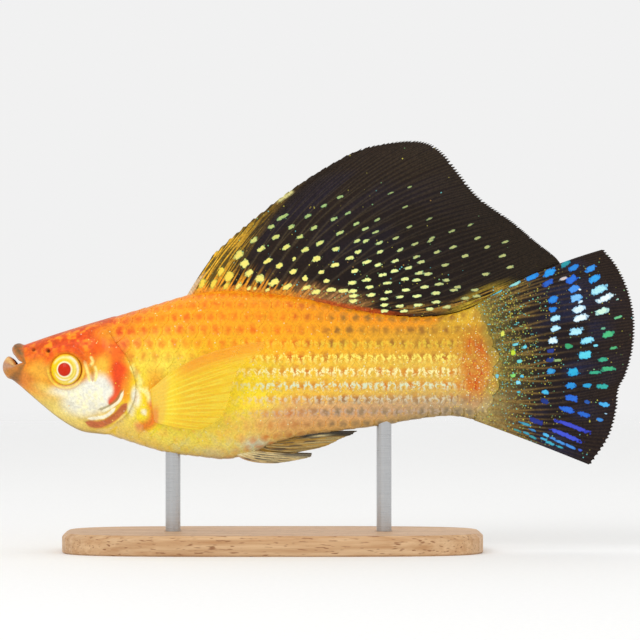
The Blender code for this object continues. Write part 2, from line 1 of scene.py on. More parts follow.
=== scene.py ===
# %% [markdown]
# # A gold sailfin molly on a display stand
# The solids of this fish are already packed: head, trunk, fins, eyes and a stand, all in metres, with the
# snout along -X, the left flank facing -Y and the back up. Here they get their looks: one skin over the
# flesh, hundreds of scales, gill covers, glassy eyes, fins with branching rays, and the finish of the stand.
# First the imported model is loaded as a fixed frame.

import math

import bpy
import numpy as np
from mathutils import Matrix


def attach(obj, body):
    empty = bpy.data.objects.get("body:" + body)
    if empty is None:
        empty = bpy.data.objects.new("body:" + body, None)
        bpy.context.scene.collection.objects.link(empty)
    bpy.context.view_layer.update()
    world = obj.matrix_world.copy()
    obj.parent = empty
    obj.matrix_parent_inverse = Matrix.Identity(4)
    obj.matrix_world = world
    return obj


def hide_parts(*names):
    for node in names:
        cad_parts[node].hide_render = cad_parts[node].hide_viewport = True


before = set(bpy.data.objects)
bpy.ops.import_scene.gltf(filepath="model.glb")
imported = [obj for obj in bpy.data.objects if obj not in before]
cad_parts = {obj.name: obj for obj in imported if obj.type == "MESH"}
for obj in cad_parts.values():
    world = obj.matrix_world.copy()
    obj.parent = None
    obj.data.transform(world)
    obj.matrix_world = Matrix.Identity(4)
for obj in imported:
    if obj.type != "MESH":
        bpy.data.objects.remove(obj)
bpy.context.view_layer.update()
print("nodes in the frame:", len(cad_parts))

# %% [markdown]
# ## The camera comes first
# The photograph looks straight at the left flank and is 128 mm wide at the fish. A long lens from 0.71 m
# away gives that width with next to no perspective, as in a studio. Its height keeps the eye of the fish
# as high in the frame as in the picture.

# %% Place the camera
PICTURE_WIDTH = 0.128
LENS, SENSOR = 200.0, 36.0
CAMERA_RIGHT, CAMERA_HEIGHT = 0.0002, 0.0462
camera_data = bpy.data.cameras.new("camera")
camera_data.lens = LENS
camera_data.sensor_width = SENSOR
camera = bpy.data.objects.new("camera", camera_data)
camera.location = (CAMERA_RIGHT, -PICTURE_WIDTH * LENS / SENSOR, CAMERA_HEIGHT)
camera.rotation_euler = (math.radians(90), 0, 0)
bpy.context.scene.collection.objects.link(camera)
bpy.context.scene.camera = camera
print("camera stands", round(-camera.location.y, 3), "m from the fish")

# %% [markdown]
# ## Sizes that the solids share
# Every place on the fish is given in millimetres by s, the distance behind the tip of the lower lip, y
# across it, and h, the height above the level of the eye. These tables are the ones the solids were made
# from, so each new surface lands where its solid is.

# %% Sizes of the body
MM = 0.001
TOTAL_LENGTH = 126.4
EYE_LEVEL = 36.4
TO_MODEL = np.array([-TOTAL_LENGTH / 2, 0, EYE_LEVEL])
BACK = [(4.8, 5.0), (9.4, 6.6), (15.4, 8.5), (23.4, 10.9), (31.4, 13.3), (36.8, 14.9), (43.4, 15.8),
        (51.4, 15.5), (59.4, 14.5), (67.4, 12.7), (75.4, 11.3), (83.4, 10.6), (90.4, 11.4), (98.5, 14.6)]
BELLY = [(4.4, -4.2), (7.4, -6.8), (11.4, -10.0), (15.4, -12.3), (20.4, -13.15), (25.4, -14.7),
         (31.4, -16.5), (39.4, -17.7), (45.4, -18.1), (49.4, -17.1), (53.4, -15.3), (59.4, -13.6),
         (67.4, -12.5), (75.4, -11.5), (83.4, -10.1), (90.4, -9.6), (98.5, -11.6)]
HALF_BREADTH = [(4.4, 3.9), (9.4, 5.2), (13.0, 6.2), (19.0, 7.6), (25.0, 8.4), (31.0, 8.6), (40.0, 8.4),
                (52.0, 7.6), (64.0, 6.2), (76.0, 4.7), (86.0, 3.4), (93.0, 2.2), (98.5, 1.1)]
WIDEST_LEVEL = [(4.4, 0.6), (20.0, 0.0), (31.0, -1.0), (50.0, -1.0), (66.0, -0.2), (84.0, 0.4), (98.5, 1.4)]
UPPER_ROUNDNESS = [(4.4, 2.3), (13.0, 2.9), (24.0, 2.4), (40.0, 2.1), (98.5, 2.0)]
LOWER_ROUNDNESS = [(4.4, 2.0), (15.0, 1.9), (30.0, 2.1), (45.0, 2.2), (70.0, 2.0), (98.5, 2.0)]
HEAD_EDGE = [(0, 21.8), (65, 22.4), (80, 24.6), (97, 26.2), (120, 25.2), (145, 22.0), (180, 19.6)]
HEAD_FRONT = [(0, 4.8), (90, 5.2), (180, 4.4)]
TAIL_ROOT_EDGE, TAIL_ROOT_BULGE = 94.8, 3.2
print("tables for a body", TOTAL_LENGTH, "mm long")

# %% [markdown]
# ## Curves
# A smooth curve through a few measured places is all that an outline needs. Each stretch is a cubic whose
# slope at a place is the slope between its neighbours, so the curve never overshoots much.

# %% Curves through named places
def stacked(*parts):
    """Points or colours from their parts, spread to one shape and set side by side."""
    return np.stack(np.broadcast_arrays(*parts), -1)


def length(vectors, **options):
    """Length of each vector: the root of the sum of its squared parts."""
    return np.linalg.norm(vectors, axis=-1, **options)


def cubic(start, start_slope, end, end_slope, t):
    """A cubic: from one value and slope at t = 0 to another value and slope at t = 1."""
    near = start * (1 + 2 * t) * (1 - t) ** 2 + start_slope * t * (1 - t) ** 2
    far = end * t * t * (3 - 2 * t) - end_slope * t * t * (1 - t)
    return near + far


def through(points, at):
    """Height of a smooth curve through (x, y) points: cubic pieces whose slopes are central differences."""
    xs, ys = np.array(points, float).T
    at = np.asarray(at, float)
    slopes = np.gradient(ys, xs)
    i = np.clip(np.searchsorted(xs, at) - 1, 0, len(xs) - 2)
    width = xs[i + 1] - xs[i]
    t = np.clip((at - xs[i]) / width, 0, 1)
    return cubic(ys[i], width * slopes[i], ys[i + 1], width * slopes[i + 1], t)


def path(points, at):
    """Smooth plane curve through (s, h) points; at runs from 0 to 1 along its length."""
    points = np.array(points, float)
    knots = np.concatenate([[0], np.cumsum(length(np.diff(points, axis=0)))])
    return stacked(*(through(list(zip(knots / knots[-1], column)), at) for column in points.T))


def smooth(value):
    """A soft step: 0 below 0, 1 above 1, and 3v^2 - 2v^3 between."""
    value = np.clip(value, 0, 1)
    return value * value * (3 - 2 * value)


def hill(value, width):
    """A bell curve: exp(-(v / width)^2)."""
    return np.exp(-((value / width) ** 2))


def power(value, exponent):
    """A power that keeps the sign of the value."""
    return np.sign(value) * np.abs(value) ** exponent


def fold(angle):
    """An angle round the body, in degrees, as its distance from the back, alike on both sides."""
    return 180 - np.abs(180 - np.mod(angle, 360))


print("half way up a soft step:", float(smooth(0.5)))

# %% [markdown]
# ## The body as a function
# A cut across a fish is close to a superellipse: a round whose corners can be fuller or leaner. The upper
# and lower halves differ, so each has its own reach and fullness. Angle 0 is the back, 90 the left flank,
# 180 the belly and 270 the right flank.

# %% Body surface
def fullness(s, above):
    """Exponent of the superellipse, in the upper half where above is true and in the lower half elsewhere."""
    return np.where(above, through(UPPER_ROUNDNESS, s), through(LOWER_ROUNDNESS, s))


def body(s, angle):
    """Point (s, y, h) of the body: |y / breadth|^n + |h / reach|^n = 1 at each s, turned into an angle."""
    s, angle = np.broadcast_arrays(np.asarray(s, float), np.asarray(angle, float))
    up, side = np.cos(np.radians(angle)), np.sin(np.radians(angle))
    roundness = fullness(s, up > 0)
    level = through(WIDEST_LEVEL, s)
    reach = np.where(up > 0, through(BACK, s) - level, level - through(BELLY, s))
    y = -through(HALF_BREADTH, s) * power(side, 2 / roundness)
    return stacked(s, y, level + reach * power(up, 2 / roundness))


STEP_S, STEP_ANGLE = 0.05, 0.5  # millimetres along and degrees round


def body_normal(s, angle):
    """Outward direction: the cross product of two short steps on the surface."""
    along = body(s + STEP_S, angle) - body(s - STEP_S, angle)
    around = body(s, angle + STEP_ANGLE) - body(s, angle - STEP_ANGLE)
    normal = np.cross(around, along)
    return normal / length(normal, keepdims=True)


def flank_angle(s, h):
    """The angle at which the left flank has the height h: the superellipse solved for its angle."""
    up = h - through(WIDEST_LEVEL, s)
    reach = np.where(up > 0, through(BACK, s) - h + up, h - up - through(BELLY, s))
    return np.degrees(np.arccos(power(np.clip(up / reach, -1, 1), fullness(s, up > 0) / 2)))


def head_edge(angle):
    """Where the head ends and the scaly trunk starts, at each angle."""
    return through(HEAD_EDGE, fold(angle))


def tail_root(angle):
    """Where the flesh ends and the tail fin starts: furthest back at mid-flank."""
    return TAIL_ROOT_EDGE + TAIL_ROOT_BULGE * np.sin(np.radians(angle)) ** 2


print("breadth of the trunk:", round(2 * float(through(HALF_BREADTH, 31)), 1), "mm")

# %% [markdown]
# ## Colour and chance
# Colours are written as the hex values a colour picker gives. Light adds up in linear numbers, so one
# function turns hex into those. Living skin is never even: a cube of seeded random numbers, blended
# smoothly between its corners, gives the same soft mottling on every run.

# %% Colour and noise
def linear(colour):
    """Linear red, green and blue of an sRGB hex colour, by the standard sRGB curve."""
    srgb = np.array([int(colour[i:i + 2], 16) for i in (1, 3, 5)]) / 255
    return np.where(srgb <= 0.04045, srgb / 12.92, ((srgb + 0.055) / 1.055) ** 2.4)


def mix(base, other, share):
    """Blends two colours by a share from 0 to 1 at each point."""
    other = linear(other) if isinstance(other, str) else other
    return base + (other - base) * np.clip(share, 0, 1)[..., None]


CHANCE_SIDE = 32
CHANCE = np.random.default_rng(5).random((CHANCE_SIDE,) * 3)
SEED_STEP = 9.7  # how far one seed's place in the cube lies from the next


def noise(points, size, seed):
    """Smooth random value from 0 to 1: random corners one size apart, blended along each axis."""
    place = np.asarray(points, float) / size + SEED_STEP * seed
    corner = np.floor(place).astype(int)
    share = smooth(place - corner)
    total = np.zeros(place.shape[:-1])
    for step in np.ndindex(2, 2, 2):
        weight = np.prod(np.where(np.array(step) == 1, share, 1 - share), axis=-1)
        x, y, z = np.moveaxis((corner + step) % CHANCE_SIDE, -1, 0)
        total += weight * CHANCE[x, y, z]
    return total


print("orange in linear numbers:", linear("#F5A623").round(3))

# %% [markdown]
# ## Meshes from arrays
# A surface worked out as arrays goes into Blender in one step. Each piece is closed, so its volume tells
# which way its faces point: where it comes out negative, every face is turned round. The piece also gets
# its colours as an attribute, and a UV map for baking.

# %% Faces of grids
def grid_faces(rows, columns, closed=False):
    """Quads between the rows of a grid of points; a closed grid joins its last column to the first."""
    i, j = np.mgrid[0:rows - 1, 0:columns - (0 if closed else 1)]
    k = (j + 1) % columns
    quads = stacked(i * columns + j, i * columns + k, (i + 1) * columns + k, (i + 1) * columns + j)
    return quads.reshape(-1, 4)


def volume(points, faces):
    """Signed volume: the sum of the tetrahedra from the origin to each triangle of each face."""
    total = 0.0
    for kind in faces:
        for k in range(1, kind.shape[1] - 1):
            a, b, c = points[kind[:, 0]], points[kind[:, k]], points[kind[:, k + 1]]
            total += np.einsum("ij,ij->", a, np.cross(b, c)) / 6
    return total


print("a grid of 3 by 4 points has", len(grid_faces(3, 4)), "quads")

# %% Make a piece from arrays
SHARP = math.radians(70)  # an edge that turns more than this is shaded sharp


def fill_mesh(mesh, points, faces, places, place_faces):
    """Puts points, faces and the corners' UV places into an empty mesh, all as whole arrays."""
    corners = np.concatenate([kind.ravel() for kind in faces])
    sizes = np.concatenate([np.full(len(kind), kind.shape[1]) for kind in faces])
    mesh.vertices.add(len(points))
    mesh.vertices.foreach_set("co", ((points + TO_MODEL) * MM).ravel())
    mesh.loops.add(len(corners))
    mesh.loops.foreach_set("vertex_index", corners)
    mesh.polygons.add(len(sizes))
    mesh.polygons.foreach_set("loop_start", np.concatenate([[0], np.cumsum(sizes)[:-1]]))
    mesh.update(calc_edges=True)
    mesh.polygons.foreach_set("use_smooth", np.ones(len(sizes), bool))
    chosen = np.concatenate([kind.ravel() for kind in place_faces])
    mesh.uv_layers.new(name="OFBake").data.foreach_set("uv", places[chosen].ravel())


def make_piece(name, points, faces, unwrap, tints, finish, stands_for=()):
    """A closed piece of the fish with its colours, finish and place in the frame."""
    points = points.reshape(-1, 3)
    places, place_faces = unwrap
    if volume(points, faces) < 0:
        faces, place_faces = ([kind[:, ::-1] for kind in kinds] for kinds in (faces, place_faces))
    mesh = bpy.data.meshes.new(name)
    fill_mesh(mesh, points, faces, places, place_faces)
    for label, values in tints.items():
        colours = np.zeros((len(points), 4))
        colours[:, :values.shape[-1]] = values.reshape(len(points), -1)
        mesh.color_attributes.new(label, "FLOAT_COLOR", "POINT").data.foreach_set("color", colours.ravel())
    mesh.materials.append(finish)
    mesh.set_sharp_from_angle(angle=SHARP)
    made = bpy.data.objects.new(name, mesh)
    bpy.context.scene.collection.objects.link(made)
    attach(made, "root")
    if stands_for:
        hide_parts(*stands_for)
    triangles = sum(len(kind) * (kind.shape[1] - 2) for kind in faces)
    print(f"{name}: {triangles} triangles, {abs(volume(points, faces)):.1f} cubic mm")


print("edges are sharp past", round(math.degrees(SHARP)), "degrees")

# %% [markdown]
# Fins and gill covers are thin sheets: two like grids a little apart, joined round their rim. Their
# unwrap lays the near face on the left half of the map and the far face on the right half.

# %% Thin closed sheets
def grid_rim(rows, columns):
    """Indices of a grid's border, once round."""
    return np.concatenate([
        np.arange(columns),
        np.arange(1, rows) * columns + columns - 1,
        (rows - 1) * columns + np.arange(columns - 2, -1, -1),
        np.arange(rows - 2, 0, -1) * columns])


def sheet(name, near, far, tints, finish):
    """A closed piece between two like grids of points, with a strip of faces round the rim."""
    rows, columns = near.shape[:2]
    count = rows * columns
    face, rim = grid_faces(rows, columns), grid_rim(rows, columns)
    after = np.roll(rim, -1)
    both = [face, face[:, ::-1] + count]
    u, v = np.meshgrid(np.linspace(0, 1, columns), np.linspace(0.01, 0.99, rows))
    places = np.concatenate([stacked(left + 0.48 * u, v).reshape(-1, 2) for left in (0.01, 0.51)])
    points = np.concatenate([near.reshape(-1, 3), far.reshape(-1, 3)])
    faces = both + [stacked(after, rim, rim + count, after + count)]
    unwrap = (places, both + [stacked(after, rim, rim, after)])
    doubled = {label: np.concatenate([values.reshape(count, -1)] * 2) for label, values in tints.items()}
    make_piece(name, points, faces, unwrap, doubled, finish, (name,))


print("round the rim of 3 by 4 points stand", len(grid_rim(3, 4)))

# %% [markdown]
# ## The finish of wet skin
# A molly's skin is thin and clear, with pigment cells below it and a coat of mucus above. The pigment is
# worked out in numbers on the mesh and read here as the attribute tint. The nodes add what is too fine
# for a mesh: grains of pigment about 0.2 mm across, a roughness that drifts, and a shallow bump. Crystals
# in the skin glitter, and that glitter is painted into the colour as tiny round sparks, painted glints; each
# cell of a cell pattern holds one where its lot is drawn, and the tint's fourth number says how often that
# is. The mucus is a thin clear coat.

# %% One way to add a node
def in_use(sockets, name=None):
    """The first socket that a node's settings leave in use, with the given name if there is one."""
    return next(socket for socket in sockets if socket.enabled and name in (None, socket.name))


def feed(tree, made, inputs):
    """Fills inputs, by name or by number: a socket or a node becomes a link, anything else a value."""
    for name, value in inputs.items():
        socket = made.inputs[name] if isinstance(name, int) else in_use(made.inputs, name)
        value = in_use(value.outputs) if isinstance(value, bpy.types.Node) else value
        if isinstance(value, bpy.types.NodeSocket):
            tree.links.new(value, socket)
        else:
            socket.default_value = value


def node(tree, kind, inputs=None, **settings):
    """Adds a shader node, sets its options and fills its inputs."""
    made = tree.nodes.new("ShaderNode" + kind)
    for option, value in settings.items():
        setattr(made, option, value)
    feed(tree, made, inputs or {})
    return made


def parts_of(made):
    """A material, its node tree and its Principled shader."""
    return made, made.node_tree, made.node_tree.nodes["Principled BSDF"]


def new_finish(name, **constants):
    """A material with one Principled shader, whose plain values sit on its own sockets."""
    made = bpy.data.materials.new(name)
    made.use_nodes = True
    made, tree, shader = parts_of(made)
    feed(tree, shader, {socket.replace("_", " "): value for socket, value in constants.items()})
    return made, tree, shader


def colour_keys(ramp_node, keys):
    """Gives a ramp its keys, each a place and a hex colour: its own two first, the rest added."""
    elements = ramp_node.color_ramp.elements
    for i, (place, colour) in enumerate(keys):
        key = elements[i] if i < 2 else elements.new(place)
        key.position, key.color = place, (*linear(colour), 1)


print("shader nodes to choose from:", sum("ShaderNode" in kind for kind in dir(bpy.types)))

# %% Wet skin
GRAIN = 0.00022  # metres across a grain of pigment; real ones are half that, too fine to show
# The sparks are painted glints: bright dots mixed into the base colour where the skin's crystals would catch
# the light.
SPARK = 0.00036  # metres from one glittering platelet to the next
DRIFT = MM / 0.6  # from one change of roughness to the next, 1.7 mm
PAINTED_GOLD_GLINTS = ("#FFE86A", "#FFD83A", "#FFF0A8", "#E4EED0", "#F6C66A")
PAINTED_FIN_GLINTS = ("#A89E48", "#D8CE50", "#8CC888", "#70D0D0", "#B08848")
SPARK_SHARES = (0.0, 0.3, 0.55, 0.75, 0.9)  # where each colour starts among the lots


def pigmented(name, grain_depth, bump_height, rough, sparks=PAINTED_GOLD_GLINTS, **constants):
    """Skin coloured by the attribute tint, with grains, and with painted glints, spark dots mixed into the
    colour, as dense as its alpha says.
    """
    made, tree, shader = new_finish(name, **constants)
    tint = node(tree, "Attribute", attribute_name="tint")
    here = node(tree, "TexCoord").outputs["Object"]
    grain = node(tree, "TexNoise", {"Vector": here, "Scale": 1 / GRAIN / 2, "Detail": 2.0, "Roughness": 0.6})
    light = node(tree, "MapRange", {"Value": grain, "From Min": 0.3, "From Max": 0.7,
                                    "To Min": 1 - grain_depth, "To Max": 1 + grain_depth})
    shaded = node(tree, "VectorMath", {0: tint, 1: light}, operation="MULTIPLY")
    cells = node(tree, "TexVoronoi", {"Vector": here, "Scale": 1 / SPARK})
    lots = node(tree, "SeparateColor", {"Color": cells.outputs["Color"]})
    share = node(tree, "Math", {0: lots.outputs["Green"], 1: tint.outputs["Alpha"]}, operation="LESS_THAN")
    dot = node(tree, "MapRange", {"Value": cells, "From Min": 0.48, "From Max": 0.30})
    might = node(tree, "MapRange", {"Value": lots.outputs["Blue"], "To Min": 0.15, "To Max": 0.95})
    for factor in (dot, might):
        share = node(tree, "Math", {0: share, 1: factor}, operation="MULTIPLY")
    hue = node(tree, "ValToRGB", {"Fac": lots.outputs["Red"]})
    hue.color_ramp.interpolation = "CONSTANT"
    colour_keys(hue, zip(SPARK_SHARES, sparks))
    # Painted glints: the spark colours are mixed into the base colour.
    glint_painted = node(tree, "Mix", {"Factor": share, "A": shaded, "B": hue}, data_type="RGBA")
    drift = node(tree, "TexNoise", {"Vector": here, "Scale": 1 / DRIFT, "Detail": 3.0})
    roughness = node(tree, "MapRange", {"Value": drift, "From Min": 0.3, "From Max": 0.7,
                                        "To Min": rough[0], "To Max": rough[1]})
    bump = node(tree, "Bump", {"Height": grain, "Strength": 0.5, "Distance": bump_height})
    feed(tree, shader, {"Base Color": glint_painted, "Roughness": roughness, "Normal": bump})
    return made


WET_SKIN = pigmented("wet_fish_skin_over_pigment", 0.14, 0.00004, (0.36, 0.52),
                     Specular_IOR_Level=0.2, Coat_Weight=0.08, Coat_Roughness=0.15)
print("finish:", WET_SKIN.name)

# %% [markdown]
# ## Markings
# The fish is orange along the back, gold on the flank, silver on the cheek and tan under the belly, with
# the tail stem dulled by olive. A ramp of colours by height gives the ground, and soft ovals and strokes
# lay the markings over it, the way an airbrush would. Skin, scales and gill covers all ask the same
# function, so a marking runs on unbroken from one to the next.

# %% Ramps, ovals and strokes
def ramp(keys, h):
    """Colour at a height, blended between (h, hex) keys that run downwards."""
    heights, colours = zip(*keys[::-1])
    columns = np.array([linear(colour) for colour in colours]).T
    return stacked(*(np.interp(h, heights, column) for column in columns))


def oval(s, h, centre, radii, edge, lean=0.0):
    """Share of a soft oval: 1 inside, 0 outside, with a soft edge that is a share of its radius."""
    ds, dh = s - centre[0], h - centre[1]
    cos, sin = math.cos(math.radians(lean)), math.sin(math.radians(lean))
    away = np.hypot((ds * cos + dh * sin) / radii[0], (dh * cos - ds * sin) / radii[1])
    return 1 - smooth((away - 1 + edge) / (2 * edge))


STROKE_POINTS = 41


def stroke(s, h, places, width, edge):
    """Share of a brush stroke: by the distance to a smooth path through the places, thinner at its ends."""
    at = np.linspace(0, 1, STROKE_POINTS)
    line = path(places, at)
    breadth = width / 2 * np.clip(2.2 * np.sin(np.pi * at) ** 0.7, 0.15, 1)
    nearest = np.full(np.shape(s), np.inf)
    for (line_s, line_h), half in zip(line, breadth):
        nearest = np.minimum(nearest, np.hypot(s - line_s, h - line_h) / half)
    return 1 - smooth((nearest - 1 + edge) / (2 * edge))


def within(s, h, place, *size):
    """Share of a form: a stroke where place is a list of places, an oval where it is one centre."""
    return (stroke if isinstance(place, list) else oval)(s, h, place, *size)


def paint(colour, rows, s=None, h=None):
    """Lays rows of (colour, strength) over a colour; a row may go on with the form that it is kept to."""
    for shade, strength, *form in rows:
        colour = mix(colour, shade, strength * within(s, h, *form) if form else strength)
    return colour


middle_share = stroke(np.array(1.0), np.array(0.0), [(0, 0), (1, 0), (2, 0)], 0.5, 0.35)
print("a stroke is", float(middle_share), "at its middle")

# %% Ground colours of head, trunk and tail stem
TRUNK_RAMP = [(15, "#F47A06"), (11, "#F88A06"), (8, "#F9980A"), (5.5, "#F8A814"), (2, "#F4B424"),
              (-1, "#F1BA30"), (-5, "#EDB03C"), (-9, "#E8AA4C"), (-12.5, "#E4BC5E"), (-15.5, "#DCC478"),
              (-18.2, "#B8985A")]
STEM_RAMP = [(12, "#B07E20"), (9.5, "#C08826"), (6, "#D29A30"), (3, "#DAA43A"), (0, "#DEAE46"),
             (-3, "#D49E4E"), (-6, "#B68E52"), (-8, "#9C8450"), (-11, "#8A7842"), (-13, "#7A6838")]
HEAD_RAMP = [(9, "#DC600C"), (7.2, "#E85E08"), (5, "#F06C08"), (3, "#F07C0A"), (0.8, "#EE8C12"),
             (-2, "#EE9A20"), (-5, "#EFB030"), (-8, "#EFC448"), (-11, "#E8C45C"), (-13.5, "#C8A04C")]


def ground(s, h):
    """Head ramp in front, trunk ramp behind s = 21 or so, and stem ramp from about s = 75."""
    up = smooth(h / 8)
    return paint(ramp(HEAD_RAMP, h - 0.28 * (s - 14) * (h > 0)), [
        (ramp(TRUNK_RAMP, h), smooth((s - 19.5 - 0.15 * h + 3 * up) / (5 + 9 * up))),
        (ramp(STEM_RAMP, h), smooth((s - 62) / 24))])


print("ground at mid-flank:", ground(np.array(50.0), np.array(0.0)).round(3))

# %% Markings of the trunk
DUSK_RAMP = [(14, "#1E1318"), (9, "#281F16"), (5.5, "#40381F"), (2.5, "#655A2C"), (0, "#A08838")]
LOW_DUSK_RAMP = [(14, "#1E1318"), (9, "#3A2C1E"), (6, "#6A5634"), (3, "#94804C"), (0, "#A89058")]
RED_PATCH = (95.2, 0.6)


def past_body(s, h):
    """Millimetres behind the place where the body's gold ends, which is furthest back at mid-flank."""
    return s - 95 - 3 * hill(h - 0.5, 6.5)


def dusk(past, h):
    """Olive gold that darkens into the tail fin's black, browner at its lower side."""
    return mix(ramp(DUSK_RAMP, past), ramp(LOW_DUSK_RAMP, past), smooth((-2.5 - h) / 4))


def trunk_marks(colour, s, h, speck):
    """Bright yellow behind the gills, partly painted light against the pectoral fin's shadow, with a painted
    highlight on the shoulder and painted glints at the belly, then the bands along the back, the duller stem
    and the red patch at its end.
    """
    mottle = 2 * speck - 1
    past = past_body(s, h)
    return paint(colour, [
        ("#FAD418", 0.92, (38.0, -4.6), (16.5, 9.6), 0.45),
        ("#FBE020", 0.75, (37.4, -7.6), (13, 7.0), 0.6),
        # Partly the flank's own yellow, partly painted light that offsets the shadow of the pectoral fin
        # here.
        ("#FFE41C", 0.8, (47.0, -3.6), (7.5, 7.0), 0.7),
        # Painted highlight: a pale yellow spot on the shoulder.
        ("#FFEE58", 0.75 + 0.25 * mottle, (32.4, 1.4), (5.6, 3.6), 0.8),
        ("#FAA008", 0.75, (47.0, 3.4), (5.2, 1.6), 0.7, 8),
        ("#F08A1C", 0.65, (30.8, -4.2), (1.6, 5.0), 0.7),
        ("#F6EC68", 0.75, (40.4, -14.2), (13, 2.6), 0.7, -4),
        # Partly the belly's own yellow, partly painted light against the pectoral fin's shadow.
        ("#FFE822", 0.88, (43.4, -8.6), (8.6, 5.6), 0.6),
        ("#FFF038", 0.85, (35.4, -12.6), (13.5, 4.8), 0.6),
        ("#F2A630", 0.45 * smooth(2.5 * mottle), (40, -11), (14, 6), 0.6),
        ("#EEF4C0", 0.4 * smooth(-2.5 * mottle), (43, -15.4), (12, 2.6), 0.6),
        ("#F4C442", 0.5, (26.0, -14.2), (6, 2.4), 0.7, -22),
        # Painted glints: a pale blue-white patch at the root of the pelvic fins.
        ("#CFE4D8", 0.85, (50.6, -15.0), (2.6, 1.2), 0.7),
        ("#DCE0B0", 0.6, (42.0, -16.8), (2.2, 1.0), 0.8),
        ("#FF8A00", 0.75, [(65.4, 12.0), (71.4, 10.4), (79.4, 9.2), (87.4, 10.0)], 2.4, 0.8),
        ("#F2A040", 0.5, (63.4, -10.2), (15, 2.2), 0.8, 8),
        ("#DC9C6A", 0.55, (69.4, -8.2), (22, 2.2), 0.8, 6),
        ("#B08C6E", 0.5, (82.4, -6.6), (12, 1.7), 0.8, 4),
        ("#9C8434", 0.55 * smooth(mottle + 0.3), (90.4, 7.8), (9, 3.5), 0.7),
        ("#8A8F86", 0.6 * smooth(1.6 * mottle), (89.4, -6.6), (5, 1.8), 0.7),
        ("#E4BE34", 0.7, (93.8, 11.2), (5.0, 2.2), 0.8, 22),
        ("#C85008", 0.85 + 1.1 * mottle, RED_PATCH, (3.6, 6.6), 0.7),
        (dusk(past, h), smooth((past + 1.6 + 1.5 * mottle) / 2.4))], s, h)


print("the gold ends at mid-flank", round(-float(past_body(0, 0.5)), 1), "mm behind the lip")

# %% Markings of the head
def head_marks(colour, s, h, speck):
    """Orange snout and brow, silver cheek, red gills shining through, and the pale bones round them."""
    mottle = 2 * speck - 1
    return paint(colour, [
        ("#F3B23A", 0.85, (7.8, -0.4), (3.0, 2.0), 0.6),
        ("#D9762C", 0.8, (3.8, -1.8), (3.2, 1.8), 0.7, -30),
        ("#E58A32", 0.7, [(4.2, -0.6), (6.6, -3.8), (9.8, -5.8), (12.6, -6.6)], 1.5, 0.9),
        ("#F6D060", 0.7, (9.0, -3.8), (2.6, 0.9), 0.8, -15),
        ("#F04808", 0.75, (14.6, 5.2), (5.0, 1.9), 0.7, 14),
        ("#FA9A10", 0.75 * smooth(3 * mottle), (14.5, 5.4), (9.5, 3.6), 0.5, 14),
        ("#D83E04", 0.5 * smooth(-3 * mottle) * smooth((h - 2) / 2)),
        ("#FA5E06", 0.85, (19.6, 4.6), (1.9, 3.4), 0.6, -12),
        ("#FBA61A", 0.7, (22.2, 7.0), (3.0, 1.6), 0.7),
        ("#F9C23C", 0.85, (20.2, 0.2), (1.9, 2.2), 0.7),
        ("#F55A0C", 0.85, (23.6, 3.4), (1.7, 3.6), 0.6, -10),
        ("#EDD672", 0.85, (12.6, -8.2), (5.6, 2.6), 0.7, -28),
        ("#F2F0DC", 0.97, (17.6, -5.8), (5.4, 3.3), 0.35, 12),
        ("#F2F0DC", 0.95, (14.8, -4.0), (4.6, 1.3), 0.5, 4),
        ("#F2F1E4", 0.95, (19.8, -3.8), (3.0, 2.8), 0.4),
        ("#FBF3B0", 0.55 * smooth(1.2 * mottle + 0.2), (17.0, -6.2), (6.0, 3.6), 0.5),
        ("#F2440A", 0.95, (24.4, -1.0), (2.6, 2.4), 0.5),
        ("#E9480E", 0.95, [(23.4, 1.4), (23.6, -2.2), (23.2, -5.4), (21.8, -6.6)], 1.9, 0.5),
        ("#F78A1E", 0.8, (25.2, -3.8), (1.0, 2.6), 0.6)], s, h)


# The fine lines of the cheek: the edges of the gill cover's bones and the streaks behind the eye, with three
# painted glints on the shoulder.
HEAD_LINES = [
    ("#CB6C42", 0.95, [(16.8, -10.6), (19.4, -11.0), (22.0, -9.8), (24.0, -8.2), (25.2, -6.6)], 1.5, 0.4),
    ("#8E7C40", 0.7, [(24.4, -3.8), (23.6, -5.4), (21.8, -7.0), (19.4, -8.0)], 0.5, 0.6),
    ("#FFF8D2", 1, [(24.6, -4.2), (23.8, -6.0), (22.2, -7.2), (20.2, -8.2)], 0.55, 0.4),
    ("#FFF9DC", 1, [(23.0, -7.4), (21.4, -8.8), (19.4, -9.6), (17.2, -9.8)], 0.65, 0.4),
    ("#F6D884", 0.8, [(18.6, -12.2), (21.4, -12.0), (23.4, -10.4), (25.0, -8.6)], 0.7, 0.6),
    ("#FCEC8C", 0.9, [(18.0, 2.6), (18.4, 1.6), (17.8, 0.6)], 0.55, 0.5),
    ("#FCEC8C", 0.9, [(16.8, 1.8), (17.4, -0.4), (17.8, -2.4)], 0.55, 0.5),
    ("#FCEC8C", 0.9, [(18.8, 0.8), (19.2, -0.8), (18.8, -2.4)], 0.55, 0.5),
    ("#C8861E", 0.7, [(17.8, 1.0), (18.4, -0.6), (18.4, -2.4)], 0.5, 0.6),
    ("#FBF088", 1, [(26.0, 0.8), (27.0, -0.8), (27.8, -2.2), (27.4, -3.8)], 0.9, 0.5),
    # Painted glint on the shoulder.
    ("#FDFBE2", 0.95, (27.0, -5.4), (0.85, 1.9), 0.5, 4),
    ("#FBF4A0", 0.9, [(27.8, -3.8), (29.2, -4.6), (29.8, -6.2), (30.2, -7.0)], 0.9, 0.6),
    # Painted glint on the shoulder.
    ("#FCF8D0", 0.9, (26.0, -7.8), (0.6, 1.4), 0.6),
    ("#F0742A", 0.9, [(30.2, -6.2), (30.8, -8.2), (30.0, -10.4), (28.0, -11.4), (26.8, -11.2)], 2.0, 0.8),
    # Painted glint on the shoulder.
    ("#FFF6D8", 0.9, (28.6, -8.4), (0.5, 0.6), 0.5)]
print("lines on the cheek:", len(HEAD_LINES))

# %% The whole skin's colour
EYE_AT = (13.1, 5.4, 0.0)
EYE_RADIUS = 3.2


